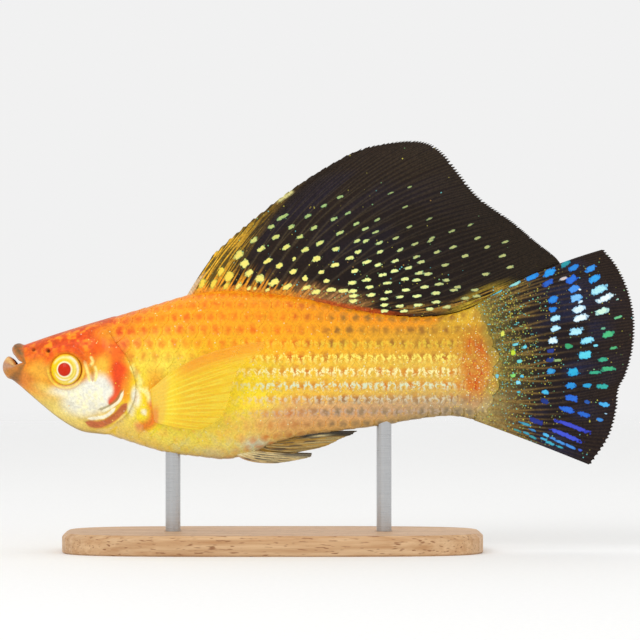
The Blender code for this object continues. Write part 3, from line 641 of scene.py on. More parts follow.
def skin_colour(points):
    """Linear colour at fish points (s, y, h): ground, markings, mottling, dark lines along the back, and
    painted shade along the belly's keel.
    """
    s, y, h = np.moveaxis(points, -1, 0)
    speck = 0.5 * noise(points, 1.5, 1) + 0.5 * noise(points, 0.6, 2)
    near_eye = (np.abs(y) > 2.5) * 1.0
    away = np.hypot(s - EYE_AT[0], h - EYE_AT[2])
    crest, keel = through(BACK, s) - h, h - through(BELLY, s)
    colour = trunk_marks(ground(s, h), s, h, speck)
    colour = mix(colour, head_marks(colour, s, h, speck), 1 - smooth((s - 24.5) / 3))
    colour = paint(colour, HEAD_LINES + [
        ("#D88A22", 0.8 * near_eye * hill(away - 3.3, 0.16)),
        ("#F8D84A", 0.8 * near_eye * hill(away - 3.6, 0.22) * smooth(0.6 - h / 2)),
        ("#D8922A", 0.6 * near_eye * hill(away - 3.95, 0.15) * smooth(0.4 - h / 2)),
        ("#F05808", 0.7 * near_eye * hill(away - 4.1, 0.7) * smooth(h / 2 - 0.1)),
        ("#C0501A", 0.6 * (1 - smooth(crest / 0.9)) * smooth((s - 4) / 6) * smooth((42 - s) / 12)),
        ("#C4460A", 0.8 * (1 - smooth(crest / 0.7)) * smooth((s - 60) / 6) * smooth((82 - s) / 10)),
        # Painted shade: a dark brown line along the belly's keel, where the underside turns away from the
        # light.
        ("#7C6440", 0.6 * (1 - smooth(keel / 0.7)))], s, h)
    return colour * (1 + 0.36 * (speck - 0.5))[..., None]


def with_share(colour, share):
    """A colour with a share from 0 to 1 as its fourth number."""
    return np.concatenate([colour, np.clip(share, 0, 1)[..., None]], -1)


def with_painted_glints(colour, s, h):
    """Adds the share of painted glints, spark dots mixed into the colour, as a fourth number: many on
    mid-flank and tail stem, few on back and head.
    """
    share = 0.06 + 0.34 * hill(h + 2.0, 4.5) * smooth((s - 40) / 16)
    share += 0.30 * smooth((s - 84) / 10) + 0.12 * oval(s, h, (42, -14), (14, 3.5), 0.6)
    share *= smooth((s - 6) / 20) * (1 - 0.8 * oval(s, h, (18.5, -5), (5, 4), 0.4))
    return with_share(colour, share)


print("flank colour:", skin_colour(np.array([[50.0, -8.0, 0.0]])).round(3))

# %% [markdown]
# ## One skin for all the flesh
# Head, jaws, trunk and tail stem are five solids, but the fish has one skin. It is a single grid: rings
# from deep in the mouth, out round the lips, and back along the body to the root of the tail. Each ring
# has the same number of points, shared evenly along its girth, and the rings are closest on the head,
# where the small forms are. On the trunk the skin lies a little inside the solids, to leave room for the
# scales.

# %% Rings of the mouth
# Each ring: its top (s, h), its corner (s, y, h), its bottom (s, h), and how far it dips in between.
MOUTH_RINGS = [
    ((4.2, 4.85), (4.95, 3.85, 1.1), (3.4, -3.3), 0.0),
    ((3.3, 5.10), (4.75, 3.75, 1.1), (2.0, -2.25), 0.0),
    ((2.3, 4.85), (4.50, 3.60, 1.2), (0.9, -1.65), 0.1),
    ((1.85, 4.0), (4.25, 3.35, 1.3), (0.1, -0.4), 0.25),
    ((2.05, 3.15), (4.20, 3.05, 1.3), (0.05, 1.1), 0.6),
    ((2.6, 2.90), (4.30, 2.80, 1.2), (0.9, 2.45), 0.95),
    ((3.4, 3.20), (4.60, 2.50, 1.1), (1.8, 2.15), 0.9),
    ((4.4, 3.20), (5.00, 2.10, 0.9), (2.6, 0.4), 0.3)]
THROAT = np.array([6.5, 0.0, 1.0])


def mouth_ring(top, corner, bottom, dip, angles):
    """One ring, a power of |cos| from its middle to its corners; it dips between them, most below."""
    up, side = np.cos(np.radians(angles)), np.sin(np.radians(angles))
    pairs = (*zip(top, bottom), (0.9, 0.85), (0.9, 1.2), (0.3, 1.0))
    middle_s, middle_h, bow_s, bow_h, deep = (np.where(up > 0, *pair) for pair in pairs)
    dips = dip * hill(np.abs(up) - 0.42, 0.26) * deep
    return stacked(
        corner[0] + (middle_s - corner[0]) * np.abs(up) ** bow_s,
        -corner[1] * power(side, 0.85),
        corner[2] + (middle_h - corner[2]) * np.abs(up) ** bow_h - dips)


def mouth(angles, depth):
    """Rings at depths from 0, the front of the head, to 9, the throat: cubics through the named rings."""
    front = through(HEAD_FRONT, fold(angles))
    rings = [body(front + 1.0, angles), body(front, angles)]
    rings += [mouth_ring(*ring, angles) for ring in MOUTH_RINGS]
    rings = np.array(rings + [THROAT + 0 * rings[0]])
    slope = np.gradient(rings, axis=0)
    i = np.clip(np.floor(depth + 1).astype(int), 0, len(rings) - 2)
    return cubic(rings[i], slope[i], rings[i + 1], slope[i + 1], (depth + 1 - i)[:, None, None])


AROUND = 280  # points round each ring of the skin


def even_angles(stations):
    """Angles that share each girth evenly: the girth is summed along a fine ring and read back."""
    fine = np.linspace(0, 360, 1441)
    run = np.cumsum(length(np.diff(body(stations[:, None], fine), axis=1)), axis=1)
    run = np.concatenate([np.zeros((len(stations), 1)), run], 1)
    return np.array([np.interp(np.arange(AROUND) / AROUND * row[-1], row, fine) for row in run])


print("lip at the middle:", mouth(np.array([0.0, 180.0]), np.array([3.0]))[0].round(2).tolist())

# %% [markdown]
# The small forms of the head are one more function: how far each point of the skin is pushed out or in.
# Sockets hold the eyes, with a low rim; two nostrils on each side are pits with a lip; a slit runs behind
# the gill cover; and a fleshy lobe carries each pectoral fin. Folds run back from the corners of the mouth.

# %% Relief of the skin
NOSTRILS = [(6.4, 3.9), (9.4, 3.7)]
COVER_FRONT = [(38, 18.6), (80, 17.4), (115, 17.6), (150, 18.4)]
COVER_ANGLES = (40, 148)
COVER_OVERHANG = 0.7
SCALE_BED = 0.22  # how far the skin lies below the solids under the scales
SOCKET_DEPTH, SOCKET_RIM = 1.3, 0.34
NOSTRIL_DEPTH, NOSTRIL_RIM = 0.55, 0.16
COVER_HOLLOW, SLIT_DEPTH = 0.3, 0.45


def raised(relief, rows, s, h):
    """Adds rows of (millimetres, form) to a relief."""
    for height, *form in rows:
        relief = relief + height * within(s, h, *form)
    return relief


def skin_relief(s, h, angle, flank):
    """Millimetres outward, a sum of bells and soft steps; flank is 1 on the sides, 0 near back and belly."""
    away = np.hypot(s - EYE_AT[0], h - EYE_AT[2])
    relief = -SOCKET_DEPTH * flank * (1 - smooth((away - 2.75) / 0.55))
    relief += SOCKET_RIM * flank * hill(away - 3.75, 0.45)
    relief -= 0.10 * flank * hill(away - 4.75, 0.4)
    for nostril_s, nostril_h in NOSTRILS:
        near = np.hypot(s - nostril_s, h - nostril_h)
        pit = NOSTRIL_DEPTH * (1 - smooth((near - 0.12) / 0.35))
        relief += flank * (NOSTRIL_RIM * hill(near - 0.55, 0.22) - pit)
    turn = fold(angle)
    inside = smooth((turn - 44) / 12) * smooth((146 - turn) / 10)
    edge, front = head_edge(angle) + COVER_OVERHANG, through(COVER_FRONT, turn)
    relief -= COVER_HOLLOW * inside * smooth((s - front - 0.8) / 1.5) * smooth((edge + 0.9 - s) / 0.6)
    relief -= SLIT_DEPTH * inside * hill(s - edge - 0.1, 0.45)
    relief = raised(relief, [
        (0.22 * flank, [(25.5, 0.4), (27.0, -1.6), (27.4, -4.4), (26.4, -7.4)], 1.6, 0.9),
        (0.35 * flank, (29.8, -8.2), (2.3, 3.2), 0.8),
        (-0.16, [(4.9, 1.2), (6.2, 0.2), (7.2, -1.8), (8.0, -4.6)], 0.7, 0.8),
        (-0.12, [(5.0, -1.2), (9.0, -6.2), (14.0, -9.2), (18.0, -11.2)], 0.6, 0.8),
        (0.08, [(18.6, 3.6), (17.6, 0.6), (17.9, -3.0), (15.5, -7.2)], 0.7, 0.8)], s, h)
    return relief - SCALE_BED * smooth((s - head_edge(angle) - 0.2) / 1.2)


socket = skin_relief(np.array(EYE_AT[0]), np.array(EYE_AT[2]), np.array(90.0), 1.0)
print("middle of the eye's socket:", round(float(socket), 2), "mm")

# %% Build the skin
def flat_noise(across, along, seed):
    """The same noise on a plane, with corners one unit apart."""
    return noise(stacked(across, along, 0 * along), 1.0, seed)


def grid_normals(points):
    """Outward directions of a closed grid of rings, from the differences between neighbours."""
    around = np.roll(points, -1, axis=1) - np.roll(points, 1, axis=1)
    normal = np.cross(around, np.gradient(points, axis=0))
    normal /= length(normal, keepdims=True) + 1e-12
    outward = np.sum(normal * (points - points.mean(axis=1, keepdims=True)))
    return normal * (1 if outward > 0 else -1)


MOUTH_COUNT, HEAD_COUNT, TRUNK_COUNT = 64, 104, 140  # rings on each stretch of the skin
stations = np.concatenate([np.linspace(4.8, 26, HEAD_COUNT)[:-1], np.linspace(26, 97, TRUNK_COUNT)])
angles = even_angles(stations)
front = through(HEAD_FRONT, fold(angles))
share = ((stations - stations[0]) / (stations[-1] - stations[0]))[:, None]
depth = np.linspace(8.9, 0, MOUTH_COUNT, endpoint=False)
rings = np.concatenate([mouth(angles[0], depth), body(front + (tail_root(angles) - front) * share, angles)])
depths = np.concatenate([depth, 0 * stations])[:, None]
turns = np.concatenate([np.repeat(angles[:1], len(depth), 0), angles])

ring_s, ring_y, ring_h = np.moveaxis(rings, -1, 0)
on_flank = np.clip((np.abs(ring_y) - 2.0) / 2, 0, 1)
push = skin_relief(ring_s, ring_h, turns, on_flank) * (depths == 0)
wrinkles = 0.14 * hill(depths - 3.2, 1.6) * (flat_noise(turns / 9, depths, 3) - 0.5)
skin_points = rings + grid_normals(rings) * (push + wrinkles)[..., None]
print("skin grid:", skin_points.shape[:2], "rings and points round each")

# %% Colour the skin
def pole_faces(rows, columns, stride):
    """Triangles to a grid's first and last ring, from two points that are numbered after the grid."""
    ring, last = np.arange(columns), (rows - 1) * stride
    after = (ring + 1) % stride
    return [stacked(rows * stride, after, ring), stacked(rows * stride + 1, last + ring, last + after)]


def lip_colour(colour, depths, turns, points):
    """Lips: a grey-brown rim outside, pale gold within with a painted highlight deeper in, and a dark red
    throat.
    """
    up = np.cos(np.radians(turns))
    band, dark = (np.where((up > 0)[..., None], linear(upper), linear(lower))
                  for upper, lower in (("#B8823C", "#B27C3A"), ("#55442A", "#644828")))
    patch = 0.8 + 0.6 * (noise(points, 0.5, 4) - 0.5)
    rim = hill(depths - np.where(up > 0, 2.4, 1.8), np.where(up > 0, 1.3, 0.8))
    return paint(colour, [
        (band, 0.85 * smooth((depths - 0.8) / 0.8) * patch),
        (dark, rim * (0.5 + 0.5 * up ** 2) * patch),
        ("#B8947C", 0.8 * hill(depths - 4.7, 0.7)),
        # Painted highlight: pale gold inside the lips.
        ("#E9C07A", 0.8 * smooth((depths - 5.0) / 0.8) * smooth((6.8 - depths) / 1.2)),
        ("#8A3A20", smooth((depths - 6.4) / 1.6))])


tint = lip_colour(skin_colour(rings), depths, turns, rings)
# Painted shade: each nostril pit is darkened to a deep red-brown.
for nostril_s, nostril_h in NOSTRILS:
    near = np.hypot(ring_s - nostril_s, ring_h - nostril_h)
    tint = mix(tint, "#5E3016", 0.8 * (1 - smooth((near - 0.2) / 0.35)) * on_flank * (depths == 0))
tint = with_painted_glints(tint, ring_s, ring_h)

# A point in the middle closes each end of the grid, the first one set 0.3 mm back into the throat.
rows, columns = skin_points.shape[:2]
middles = skin_points[[0, -1]].mean(1) + [(0.3, 0, 0), (0, 0, 0)]
u, v = np.meshgrid(np.linspace(0, 1, columns + 1), np.linspace(0.02, 0.98, rows))
places = np.concatenate([stacked(v, u).reshape(-1, 2), [(0.01, 0.5), (0.99, 0.5)]])
unwrap = (places, [grid_faces(rows, columns + 1), *pole_faces(rows, columns, columns + 1)])
make_piece("skin", np.concatenate([skin_points.reshape(-1, 3), middles]),
           [grid_faces(rows, columns, closed=True), *pole_faces(rows, columns, columns)], unwrap,
           {"tint": np.concatenate([tint.reshape(-1, 4), tint[[0, -1]].mean(1)])}, WET_SKIN,
           ("head", "upper_jaw", "lower_jaw", "trunk", "tail_stem"))

# %% [markdown]
# ## Gill covers
# Behind each cheek a thin bony flap lies over the gills. It is fixed in front, where it runs into the
# skin, and free behind, where water leaves. So the sheet starts just below the skin and rises until its
# hind edge stands clear of the slit. Steps in its surface are the edges of the bones it is made of, and
# the thin red-brown margin below them is the gill membrane.

# %% Build the gill covers
SIDES = (("left", -1), ("right", 1))
COVER_RISE, COVER_SUNK = 0.35, 0.3  # height of the free edge over the skin, depth of the fixed one below it
COVER_FORMS = [
    (0.12, [(24.6, -4.0), (23.6, -6.2), (21.8, -7.6), (20.0, -8.2)], 0.9, 0.8),
    (0.10, [(23.2, -7.6), (21.4, -8.9), (19.4, -9.7), (17.4, -9.9)], 0.8, 0.8),
    (-0.22, [(18.0, -10.9), (20.5, -10.8), (23.2, -9.4), (25.0, -7.4)], 1.5, 0.6)]


def cover_surface(rows=120, columns=80):
    """The outer face: s, the angle, its rise off the body, the place along it, and a fade at both ends."""
    angle = np.linspace(*COVER_ANGLES, rows)[:, None]
    middle = np.mean(COVER_ANGLES)
    reach = (angle - middle) / (COVER_ANGLES[1] - middle)
    start, end = through(COVER_FRONT, angle), head_edge(angle) + COVER_OVERHANG
    pinch = np.sqrt(1 - 0.88 * np.clip(np.abs(reach), 0, 1) ** 5)
    along = np.linspace(-1, 1, columns)
    s = (start + end) / 2 + (end - start) / 2 * pinch * along
    crown = 0.25 * (1 - along ** 2) * (1 - reach ** 2)
    rise = -COVER_SUNK + (COVER_RISE + COVER_SUNK) * smooth((along + 1) / 1.1)
    rise = rise + crown * smooth((along + 1) / 0.8)
    ends = smooth((1 - np.abs(reach)) / 0.12)
    return s, angle, -COVER_SUNK + (rise + COVER_SUNK) * ends, along, ends


def gill_cover(name, side):
    """A closed flap on one side: the outer face with its bones and fine rays, and the inner one below it."""
    s, angle, rise, along, ends = cover_surface()
    angle = angle if side < 0 else 360 - angle
    skin_at, normal = body(s, angle), body_normal(s, angle)
    h = skin_at[..., 2]
    rays = 0.03 * np.sin(2 * np.pi * angle / 2.4) * smooth((along - 0.1) / 0.6)
    rounded = 0.10 * smooth((along - 0.93) / 0.07)
    outer = skin_at + normal * (rise + raised(0, COVER_FORMS, s, h) * ends + rays - rounded)[..., None]
    thickness = 0.42 - 0.22 * smooth((along - 0.6) / 0.4)
    inner = skin_at + normal * (rise - thickness)[..., None]
    tint = with_painted_glints(skin_colour(skin_at), s, h)
    sheet(name, outer, inner, {"tint": tint}, GILL_COVER)


# Skin drawn tight over bone is finer and shines a little more than the skin of the trunk.
GILL_COVER = pigmented("silvery_skin_over_gill_bone", 0.10, 0.00003, (0.30, 0.44),
                       Specular_IOR_Level=0.22, Coat_Weight=0.1, Coat_Roughness=0.12)
for side_name, side in SIDES:
    gill_cover("gill_cover_" + side_name, side)

# %% [markdown]
# ## Eyes
# This golden fish has no black pigment in its eyes, so the pupil glows red. A fish's eye is a flattened
# ball with a round lens that bulges through the pupil. It is a polar grid: rings of points from the
# middle of the lens round to the back, with colours by distance from the middle, and a clear glossy coat
# for the cornea.

# %% Build the eyes
EYE_DEPTH = 1.7
EYE_TURN = math.radians(13)
LENS_RISE = 0.16


def evenly(colour, like):
    """One hex colour at every point of an array."""
    return np.ones(np.shape(like) + (3,)) * linear(colour)


def eye_colour(x, z):
    """Red pupil, white halo, yellow and silver iris with painted highlights to the right and above, and an
    orange outer ring, by distance from the middle.
    """
    away, turn = np.hypot(x, z), np.arctan2(z, x)
    upper_left = smooth(0.62 - 0.5 * (x / 2.2) + 0.35 * (z / 2.2))
    streak = noise(stacked(np.cos(turn) * 9, np.sin(turn) * 9, away * 2), 1.0, 6)
    colour = paint(evenly("#F6E26A", away), [
        ("#F8D214", 1.2 * upper_left + 0.3 * (streak - 0.5)),
        ("#FBF2C8", 1 - smooth((away - 1.52) / 0.18)),
        ("#C8A838", 0.55 * hill(away - 1.86, 0.09) * (1 - 0.6 * upper_left)),
        ("#FBF4DC", 0.9 * hill(away - 2.12, 0.22) * smooth(-0.1 - z / 2) * smooth(0.8 - x / 2)),
        # Painted highlights: white arcs on the right and at the top of the iris.
        ("#FDF8E0", 0.95 * hill(away - 2.62, 0.20) * smooth((x - 0.3) / 1.0)),
        ("#FDF4B0", 0.7 * hill(away - 2.45, 0.25) * smooth((z - 0.8) / 0.8)),
        ("#E8C028", 0.75 * hill(away - 2.35, 0.10) * smooth(0.5 - z)),
        ("#F2CC30", 0.8 * smooth((away - 2.84) / 0.10)),
        ("#C8962A", 0.85 * smooth((away - 3.04) / 0.10)),
        ("#D02800", 1 - smooth((away - 1.28) / 0.1)),
        ("#A82404", 0.5 * hill(away - 1.2, 0.1))])
    return colour * (0.94 + 0.12 * streak)[..., None]


def eye_ball(name, side, rings=96, count=120):
    """An ellipsoid turned outwards, with the lens raised in a dome by a cosine of the distance."""
    polar = np.linspace(0, np.pi, rings + 1)[1:-1, None]
    turn = np.arange(count) * 2 * np.pi / count
    x, z = EYE_RADIUS * np.sin(polar) * np.cos(turn), EYE_RADIUS * np.sin(polar) * np.sin(turn)
    away = np.hypot(x, z)
    dome = LENS_RISE * np.cos(np.clip(away / 1.35, 0, 1) * np.pi / 2) - 0.10 * hill(away - 1.75, 0.35)
    out = EYE_DEPTH * np.cos(polar) + dome * (polar < np.pi / 2)
    poles = [(0, side * (EYE_DEPTH + LENS_RISE), 0), (0, -side * EYE_DEPTH, 0)]
    local = np.concatenate([stacked(x, side * out, z).reshape(-1, 3), poles])
    cos, sin = math.cos(side * EYE_TURN), math.sin(side * EYE_TURN)
    points = local @ np.array([(cos, sin, 0), (-sin, cos, 0), (0, 0, 1)]) + np.array(EYE_AT) * (1, side, 1)
    spread = (polar / np.pi * 0.48)[..., None] * stacked(np.cos(turn), np.sin(turn)) + 0.5
    places = np.concatenate([spread.reshape(-1, 2), [(0.5, 0.5), (0.99, 0.99)]])
    faces = [grid_faces(rings - 1, count, closed=True), *pole_faces(rings - 1, count, count)]
    tint = eye_colour(local[:, 0], local[:, 2])
    make_piece(name, points, faces, (places, faces), {"tint": tint}, EYE_GLOSS, (name,))


# The cornea is smooth and always wet, so its thin coat gives one small sharp glint.
EYE_GLOSS = pigmented("clear_cornea_over_iris", 0.05, 0.00001, (0.25, 0.32),
                      Specular_IOR_Level=0.08, Coat_Weight=0.22, Coat_Roughness=0.03)
for side_name, side in SIDES:
    eye_ball("eye_" + side_name, side)

# %% [markdown]
# ## Scales
# Scales grow in rows that run level along the flank, each row half a scale out of step with the next, so
# every scale covers the joint of two behind it. On this fish a scale shows every 2.4 mm along a row, and
# rows are 2.8 mm apart. To lay them, distances along the skin are needed, not angles: at each station
# the girth is summed outwards from the middle of the flank, and read back as an angle.

# %% A map of the skin's own distances
MID_FLANK = -0.4
LAY_STEP_S, LAY_STEP_W = 0.5, 0.25
LAY_S = np.arange(18.0, 99.01, LAY_STEP_S)
LAY_W = np.arange(-26.0, 26.01, LAY_STEP_W)
LAY_LIMITS = (18.5, 98.9)  # scales reach beyond them, and keep their last angle there


def lay_map():
    """Angle at each station and each distance w up the flank from its middle line."""
    fine = np.linspace(-75, 255, 1321)
    rows = []
    for s in LAY_S:
        run = np.concatenate([[0], np.cumsum(length(np.diff(body(s, fine), axis=0)))])
        middle = np.interp(float(flank_angle(s, MID_FLANK)), fine, run)
        rows.append(np.interp(middle - LAY_W, run, fine))
    return np.array(rows)


LAY = lay_map()


def between(pair, share):
    """Blends from the first of a pair, at share 0, to the second, at share 1."""
    return np.array(pair[0]) * (1 - share) + np.array(pair[1]) * share


def lay(s, w):
    """Angle at distance w up the flank: the map read between its four nearest entries."""
    x, y = (s - LAY_S[0]) / LAY_STEP_S, (w - LAY_W[0]) / LAY_STEP_W
    i = np.clip(np.floor(x).astype(int), 0, len(LAY_S) - 2)
    j = np.clip(np.floor(y).astype(int), 0, len(LAY_W) - 2)
    a, b = np.clip(x - i, 0, 1), np.clip(y - j, 0, 1)
    return between([between([LAY[i, k], LAY[i + 1, k]], a) for k in (j, j + 1)], b)


to_back = LAY_W[np.argmin(np.abs(LAY[np.searchsorted(LAY_S, 45)]))]
print("girth from mid-flank to the back at s = 45:", round(float(to_back), 1), "mm")

# %% Places of the scales
SCALE_PITCH, ROW_PITCH, FIRST_SCALE = 2.4, 2.8, 0.9
HALF_PITCHES, ROWS_UP = 82, 9
MIDLINE_SLACK = 2.0  # degrees; the left side's scales also cover the midlines of back and belly


def scale_places(side):
    """Places (s, w, angle) of one side's scales: even rows, kept where the trunk has skin for them."""
    i, j = np.mgrid[0:HALF_PITCHES, -ROWS_UP:ROWS_UP + 1]
    s = FIRST_SCALE + SCALE_PITCH / 2 * i
    w = ROW_PITCH * j + 0 * s
    angle = lay(np.clip(s, *LAY_LIMITS), w)
    ends = (s > head_edge(angle) + 0.9) & (s < tail_root(angle) + 0.6)
    slack = -MIDLINE_SLACK * side
    kept = ((i + j) % 2 == 0) & ends & (angle > -slack) & (angle < 180 + slack)
    return s[kept], w[kept], angle[kept]


for side_name, side in SIDES:
    print("scales on the", side_name, "side:", len(scale_places(side)[0]))

# %% [markdown]
# A scale is a small grid with a straight root and a round free edge. Its root sinks into the skin and its
# free edge stands a tenth of a millimetre proud, with a wall down its rim and a floor underneath, so
# each is closed. All scales are worked out at once as one big array of scales by rows by columns. Their
# pigment makes a net: a dark upright oval on the middle of each scale, with lighter skin round it. Along
# the flank the glint of the crystals under each free edge is painted into the colour as a small bright
# arch, a painted highlight. The mesh gives the colours of both and the place on the scale; the nodes draw
# them from that place, finer than the mesh is.

# %% Colours of the scales
# Each band of painted flashes, glints drawn into the colour: its height h, half its width, its strength and
# its colour.
PAINTED_FLASHES = [(4.9, 1.0, 0.6, "#F8DC40"), (2.3, 1.2, 1.0, "#FFF06A"), (-0.45, 1.3, 1.2, "#FFF8B0"),
           (-3.3, 1.2, 1.0, "#DDEBC8"), (-6.0, 1.0, 0.7, "#E4E0C4"), (-8.6, 1.2, 0.45, "#CBBCB4")]


def scale_marks(points):
    """Ground, heart and painted flash, a glint drawn into the colour, at points of the scales: each a colour,
    with its share as fourth number.
    """
    s, h = points[..., 0], points[..., 2]
    high, low = smooth((h - 1.0) / 3), smooth((-4.5 - h) / 3)
    middle, rear = (1 - high) * (1 - low), smooth((s - 54) / 14)
    quiet = 1 - 0.85 * oval(s, h, (39, -5), (14, 8.5), 0.4) - 0.7 * oval(s, h, RED_PATCH, (4.6, 7.0), 0.5)
    nape = 1 - smooth((s - 21) / 12)
    net = paint(skin_colour(points), [
        ("#FFC01C", 0.45 * high * quiet * (1 - 0.4 * rear) * (1 - nape)),
        ("#FFA41A", 0.45 * high * nape),
        ("#FBDC50", 0.35 * middle * quiet),
        ("#EBD09C", 0.30 * low * quiet)])
    below = mix(evenly("#DC8A40", s), "#82745C", rear)
    heart = paint(evenly("#EA6200", s), [
        ("#E24804", nape), ("#9E6A20", rear), ("#D2781A", middle), (below, low)])
    share = (0.60 + 0.2 * rear + 0.15 * nape) * high * quiet
    share = share + (0.7 * middle + 0.75 * low * smooth((s - 38) / 20)) * quiet
    share = share * (0.4 + 1.2 * noise(points, 2.6, 21))
    weights = np.array([part * hill(h - level, width) for level, width, part, shade in PAINTED_FLASHES])
    shades = np.array([linear(shade) for level, width, part, shade in PAINTED_FLASHES])
    painted_flash = np.einsum("k...,kc->...c", weights, shades) / (weights.sum(0)[..., None] + 1e-6)
    lit = weights.sum(0) * smooth((s - 42) / 12) * smooth((93 - s) / 5)
    return {"tint": with_painted_glints(net, s, h), "heart": with_share(heart, share), "painted_flash": with_share(painted_flash, lit)}


print("bands of flashes:", len(PAINTED_FLASHES))

# %% Net and flashes as nodes
WAVER = MM / 1.1  # from bend to bend in the net's lines, 0.9 mm
BREAK = MM / 2.6  # from break to break in the arches, 0.4 mm


def netted(made):
    """Adds to a finish each scale's dark heart and its painted flashing arch, a glint drawn into the colour,
    by its own millimetres in cell.
    """
    made, tree, shader = parts_of(made)
    ground = shader.inputs["Base Color"].links[0].from_socket
    cell, heart, painted_flash = (node(tree, "Attribute", attribute_name=label)
                          for label in ("cell", "heart", "painted_flash"))
    here = node(tree, "TexCoord").outputs["Object"]
    drift = node(tree, "TexNoise", {"Vector": here, "Scale": 1 / WAVER, "Detail": 2.0})
    shift = node(tree, "VectorMath", {0: drift.outputs["Color"], 1: (0.5, 0.5, 0.5)}, operation="SUBTRACT")
    place = node(tree, "VectorMath", {0: shift, 1: (1.8, 1.8, 0), 2: cell.outputs["Vector"]},
                 operation="MULTIPLY_ADD")
    upright = node(tree, "VectorMath", {0: place, 1: (1.1, 0.8, 0)}, operation="MULTIPLY")
    away = node(tree, "VectorMath", {0: upright}, operation="LENGTH")
    dark = node(tree, "MapRange", {"Value": away, "From Min": 1.15, "From Max": 0.25})
    dark_share = node(tree, "Math", {0: dark, 1: heart.outputs["Alpha"]}, operation="MULTIPLY")
    darkened = node(tree, "Mix", {"Factor": dark_share, "A": ground, "B": heart}, data_type="RGBA")
    parts = node(tree, "SeparateXYZ", {"Vector": place})
    beside = node(tree, "Math", {0: parts.outputs["X"]}, operation="ABSOLUTE")
    from_edge = node(tree, "Math", {0: SCALE_PITCH / 2, 1: beside}, operation="SUBTRACT")
    turned = node(tree, "CombineXYZ", {"X": from_edge, "Y": parts.outputs["Y"]})
    bow = node(tree, "VectorMath", {0: turned, 1: (1.35, 1.1, 0), 2: (0, 0.55, 0)}, operation="MULTIPLY_ADD")
    out = node(tree, "VectorMath", {0: bow}, operation="LENGTH")
    ring = node(tree, "Math", {0: out, 1: 1.0}, operation="SUBTRACT")
    width = node(tree, "Math", {0: ring}, operation="ABSOLUTE")
    line = node(tree, "MapRange", {"Value": width, "From Min": 0.55, "From Max": 0.22})
    legs = node(tree, "MapRange", {"Value": parts.outputs["Y"], "From Min": -1.5, "From Max": -0.5})
    fine = node(tree, "TexNoise", {"Vector": here, "Scale": 1 / BREAK, "Detail": 1.0})
    broken = node(tree, "MapRange", {"Value": fine, "From Min": 0.36, "From Max": 0.5})
    share = painted_flash.outputs["Alpha"]
    for factor in (line, legs, broken):
        share = node(tree, "Math", {0: share, 1: factor}, operation="MULTIPLY")
    # Painted flash: the glint colour is mixed into the base colour along each arch.
    lit = node(tree, "Mix", {"Factor": share, "A": darkened, "B": painted_flash}, data_type="RGBA")
    feed(tree, shader, {"Base Color": lit})
    return made


# Guanine crystals under a clear scale give it a soft metallic sheen, a little smoother than bare skin; their
# flashes are painted into its colour.
GUANINE_SCALE = netted(pigmented("clear_scale_over_silvery_skin", 0.14, 0.00003, (0.34, 0.48),
                                 Specular_IOR_Level=0.2, Coat_Weight=0.1, Coat_Roughness=0.12))
print("finish:", GUANINE_SCALE.name)

# %% Build the scales
PATCH = 0.003  # width of one scale on the bake map
SCALE_THICKNESS = 0.12
SCALE_ROWS = (-1, -0.35, 0.15, 0.5, 0.74, 0.9, 1.0)  # places from the root to the free edge
SCALE_SEEDS = {-1: 21, 1: 22}
SCALE_ROOT, SCALE_EDGE = -2.0, 1.25  # millimetres from a scale's place to its root and to its free edge


def scales(name, side, columns=9):
    """One joined piece of a side's scales: x runs from root to free edge, across runs over the scale."""
    s, w, angle = scale_places(side)
    count, rows = len(s), len(SCALE_ROWS)
    tilt = np.random.default_rng(SCALE_SEEDS[side]).normal(0, 1, (count, 1, 1))
    along = np.array(SCALE_ROWS)[None, :, None]
    over = np.sin(np.radians(np.linspace(-90, 90, columns)))[None, None, :]
    size = (1 - 0.12 * smooth((s - 84) / 12))[:, None, None]
    edge, root = (SCALE_EDGE - 2.1 * np.abs(over) ** 2.3) * size, SCALE_ROOT * size
    x = root + (edge - root) * (along + 1) / 2
    across = ROW_PITCH * 0.97 * size * over * (1 - 0.06 * (1 - along))
    place_s = s[:, None, None] + x
    turned = side * -lay(np.clip(place_s, *LAY_LIMITS), w[:, None, None] + across)
    base, normal = body(place_s, turned), body_normal(place_s, turned)
    slope = -0.12 + 0.24 * ((along + 1) / 2) ** 0.45 - 0.08 * np.abs(over) ** 3
    lift = slope - SCALE_BED + 0.015 * tilt * (along + 1) / 2 - 0.05 * smooth((along - 0.9) / 0.1)
    top, sunk = ((base + normal * (lift - depth)[..., None]).reshape(count, -1, 3)
                 for depth in (0, SCALE_THICKNESS))
    rim = grid_rim(rows, columns)
    ring = rows * columns + np.arange(len(rim))
    points = np.concatenate([top, sunk[:, rim]], 1)
    wall = stacked(np.roll(rim, -1), rim, ring, np.roll(ring, -1))
    shift = (np.arange(count) * points.shape[1])[:, None, None]
    quads = (np.concatenate([grid_faces(rows, columns), wall]) + shift).reshape(-1, 4)
    faces = [quads, ring[::-1][None] + shift[:, 0]]
    marks = {**scale_marks(base), "cell": stacked(x, across)}
    for label, values in marks.items():
        values = values.reshape(count, rows * columns, -1)
        marks[label] = np.concatenate([values, values[:, rim]], 1)
    local = stacked(along + 0 * x, over).reshape(count, -1, 2)
    local = np.concatenate([local, 1.12 * local[:, rim]], 1) * PATCH / 2
    centre = stacked((s - 17) / 84, 0.03 + 0.94 * angle / 180)
    places = (centre[:, None] + local).reshape(-1, 2)
    make_piece(name, points, faces, (places, faces), marks, GUANINE_SCALE)


for side_name, side in SIDES:
    scales("scales_" + side_name, side)

# %% [markdown]
# ## Fins
# A fin is a double sheet of thin skin over bony rays. Each ray is one rod at its root and forks one to
# three times towards the edge, so the edge is a fringe of fine branches. Every fin here is one grid:
# across it runs the place in rays, along it t runs from 0 at the root to 1 at the edge. The same functions
# that gave the solids their fins give the middle surface; the relief on it is much finer.

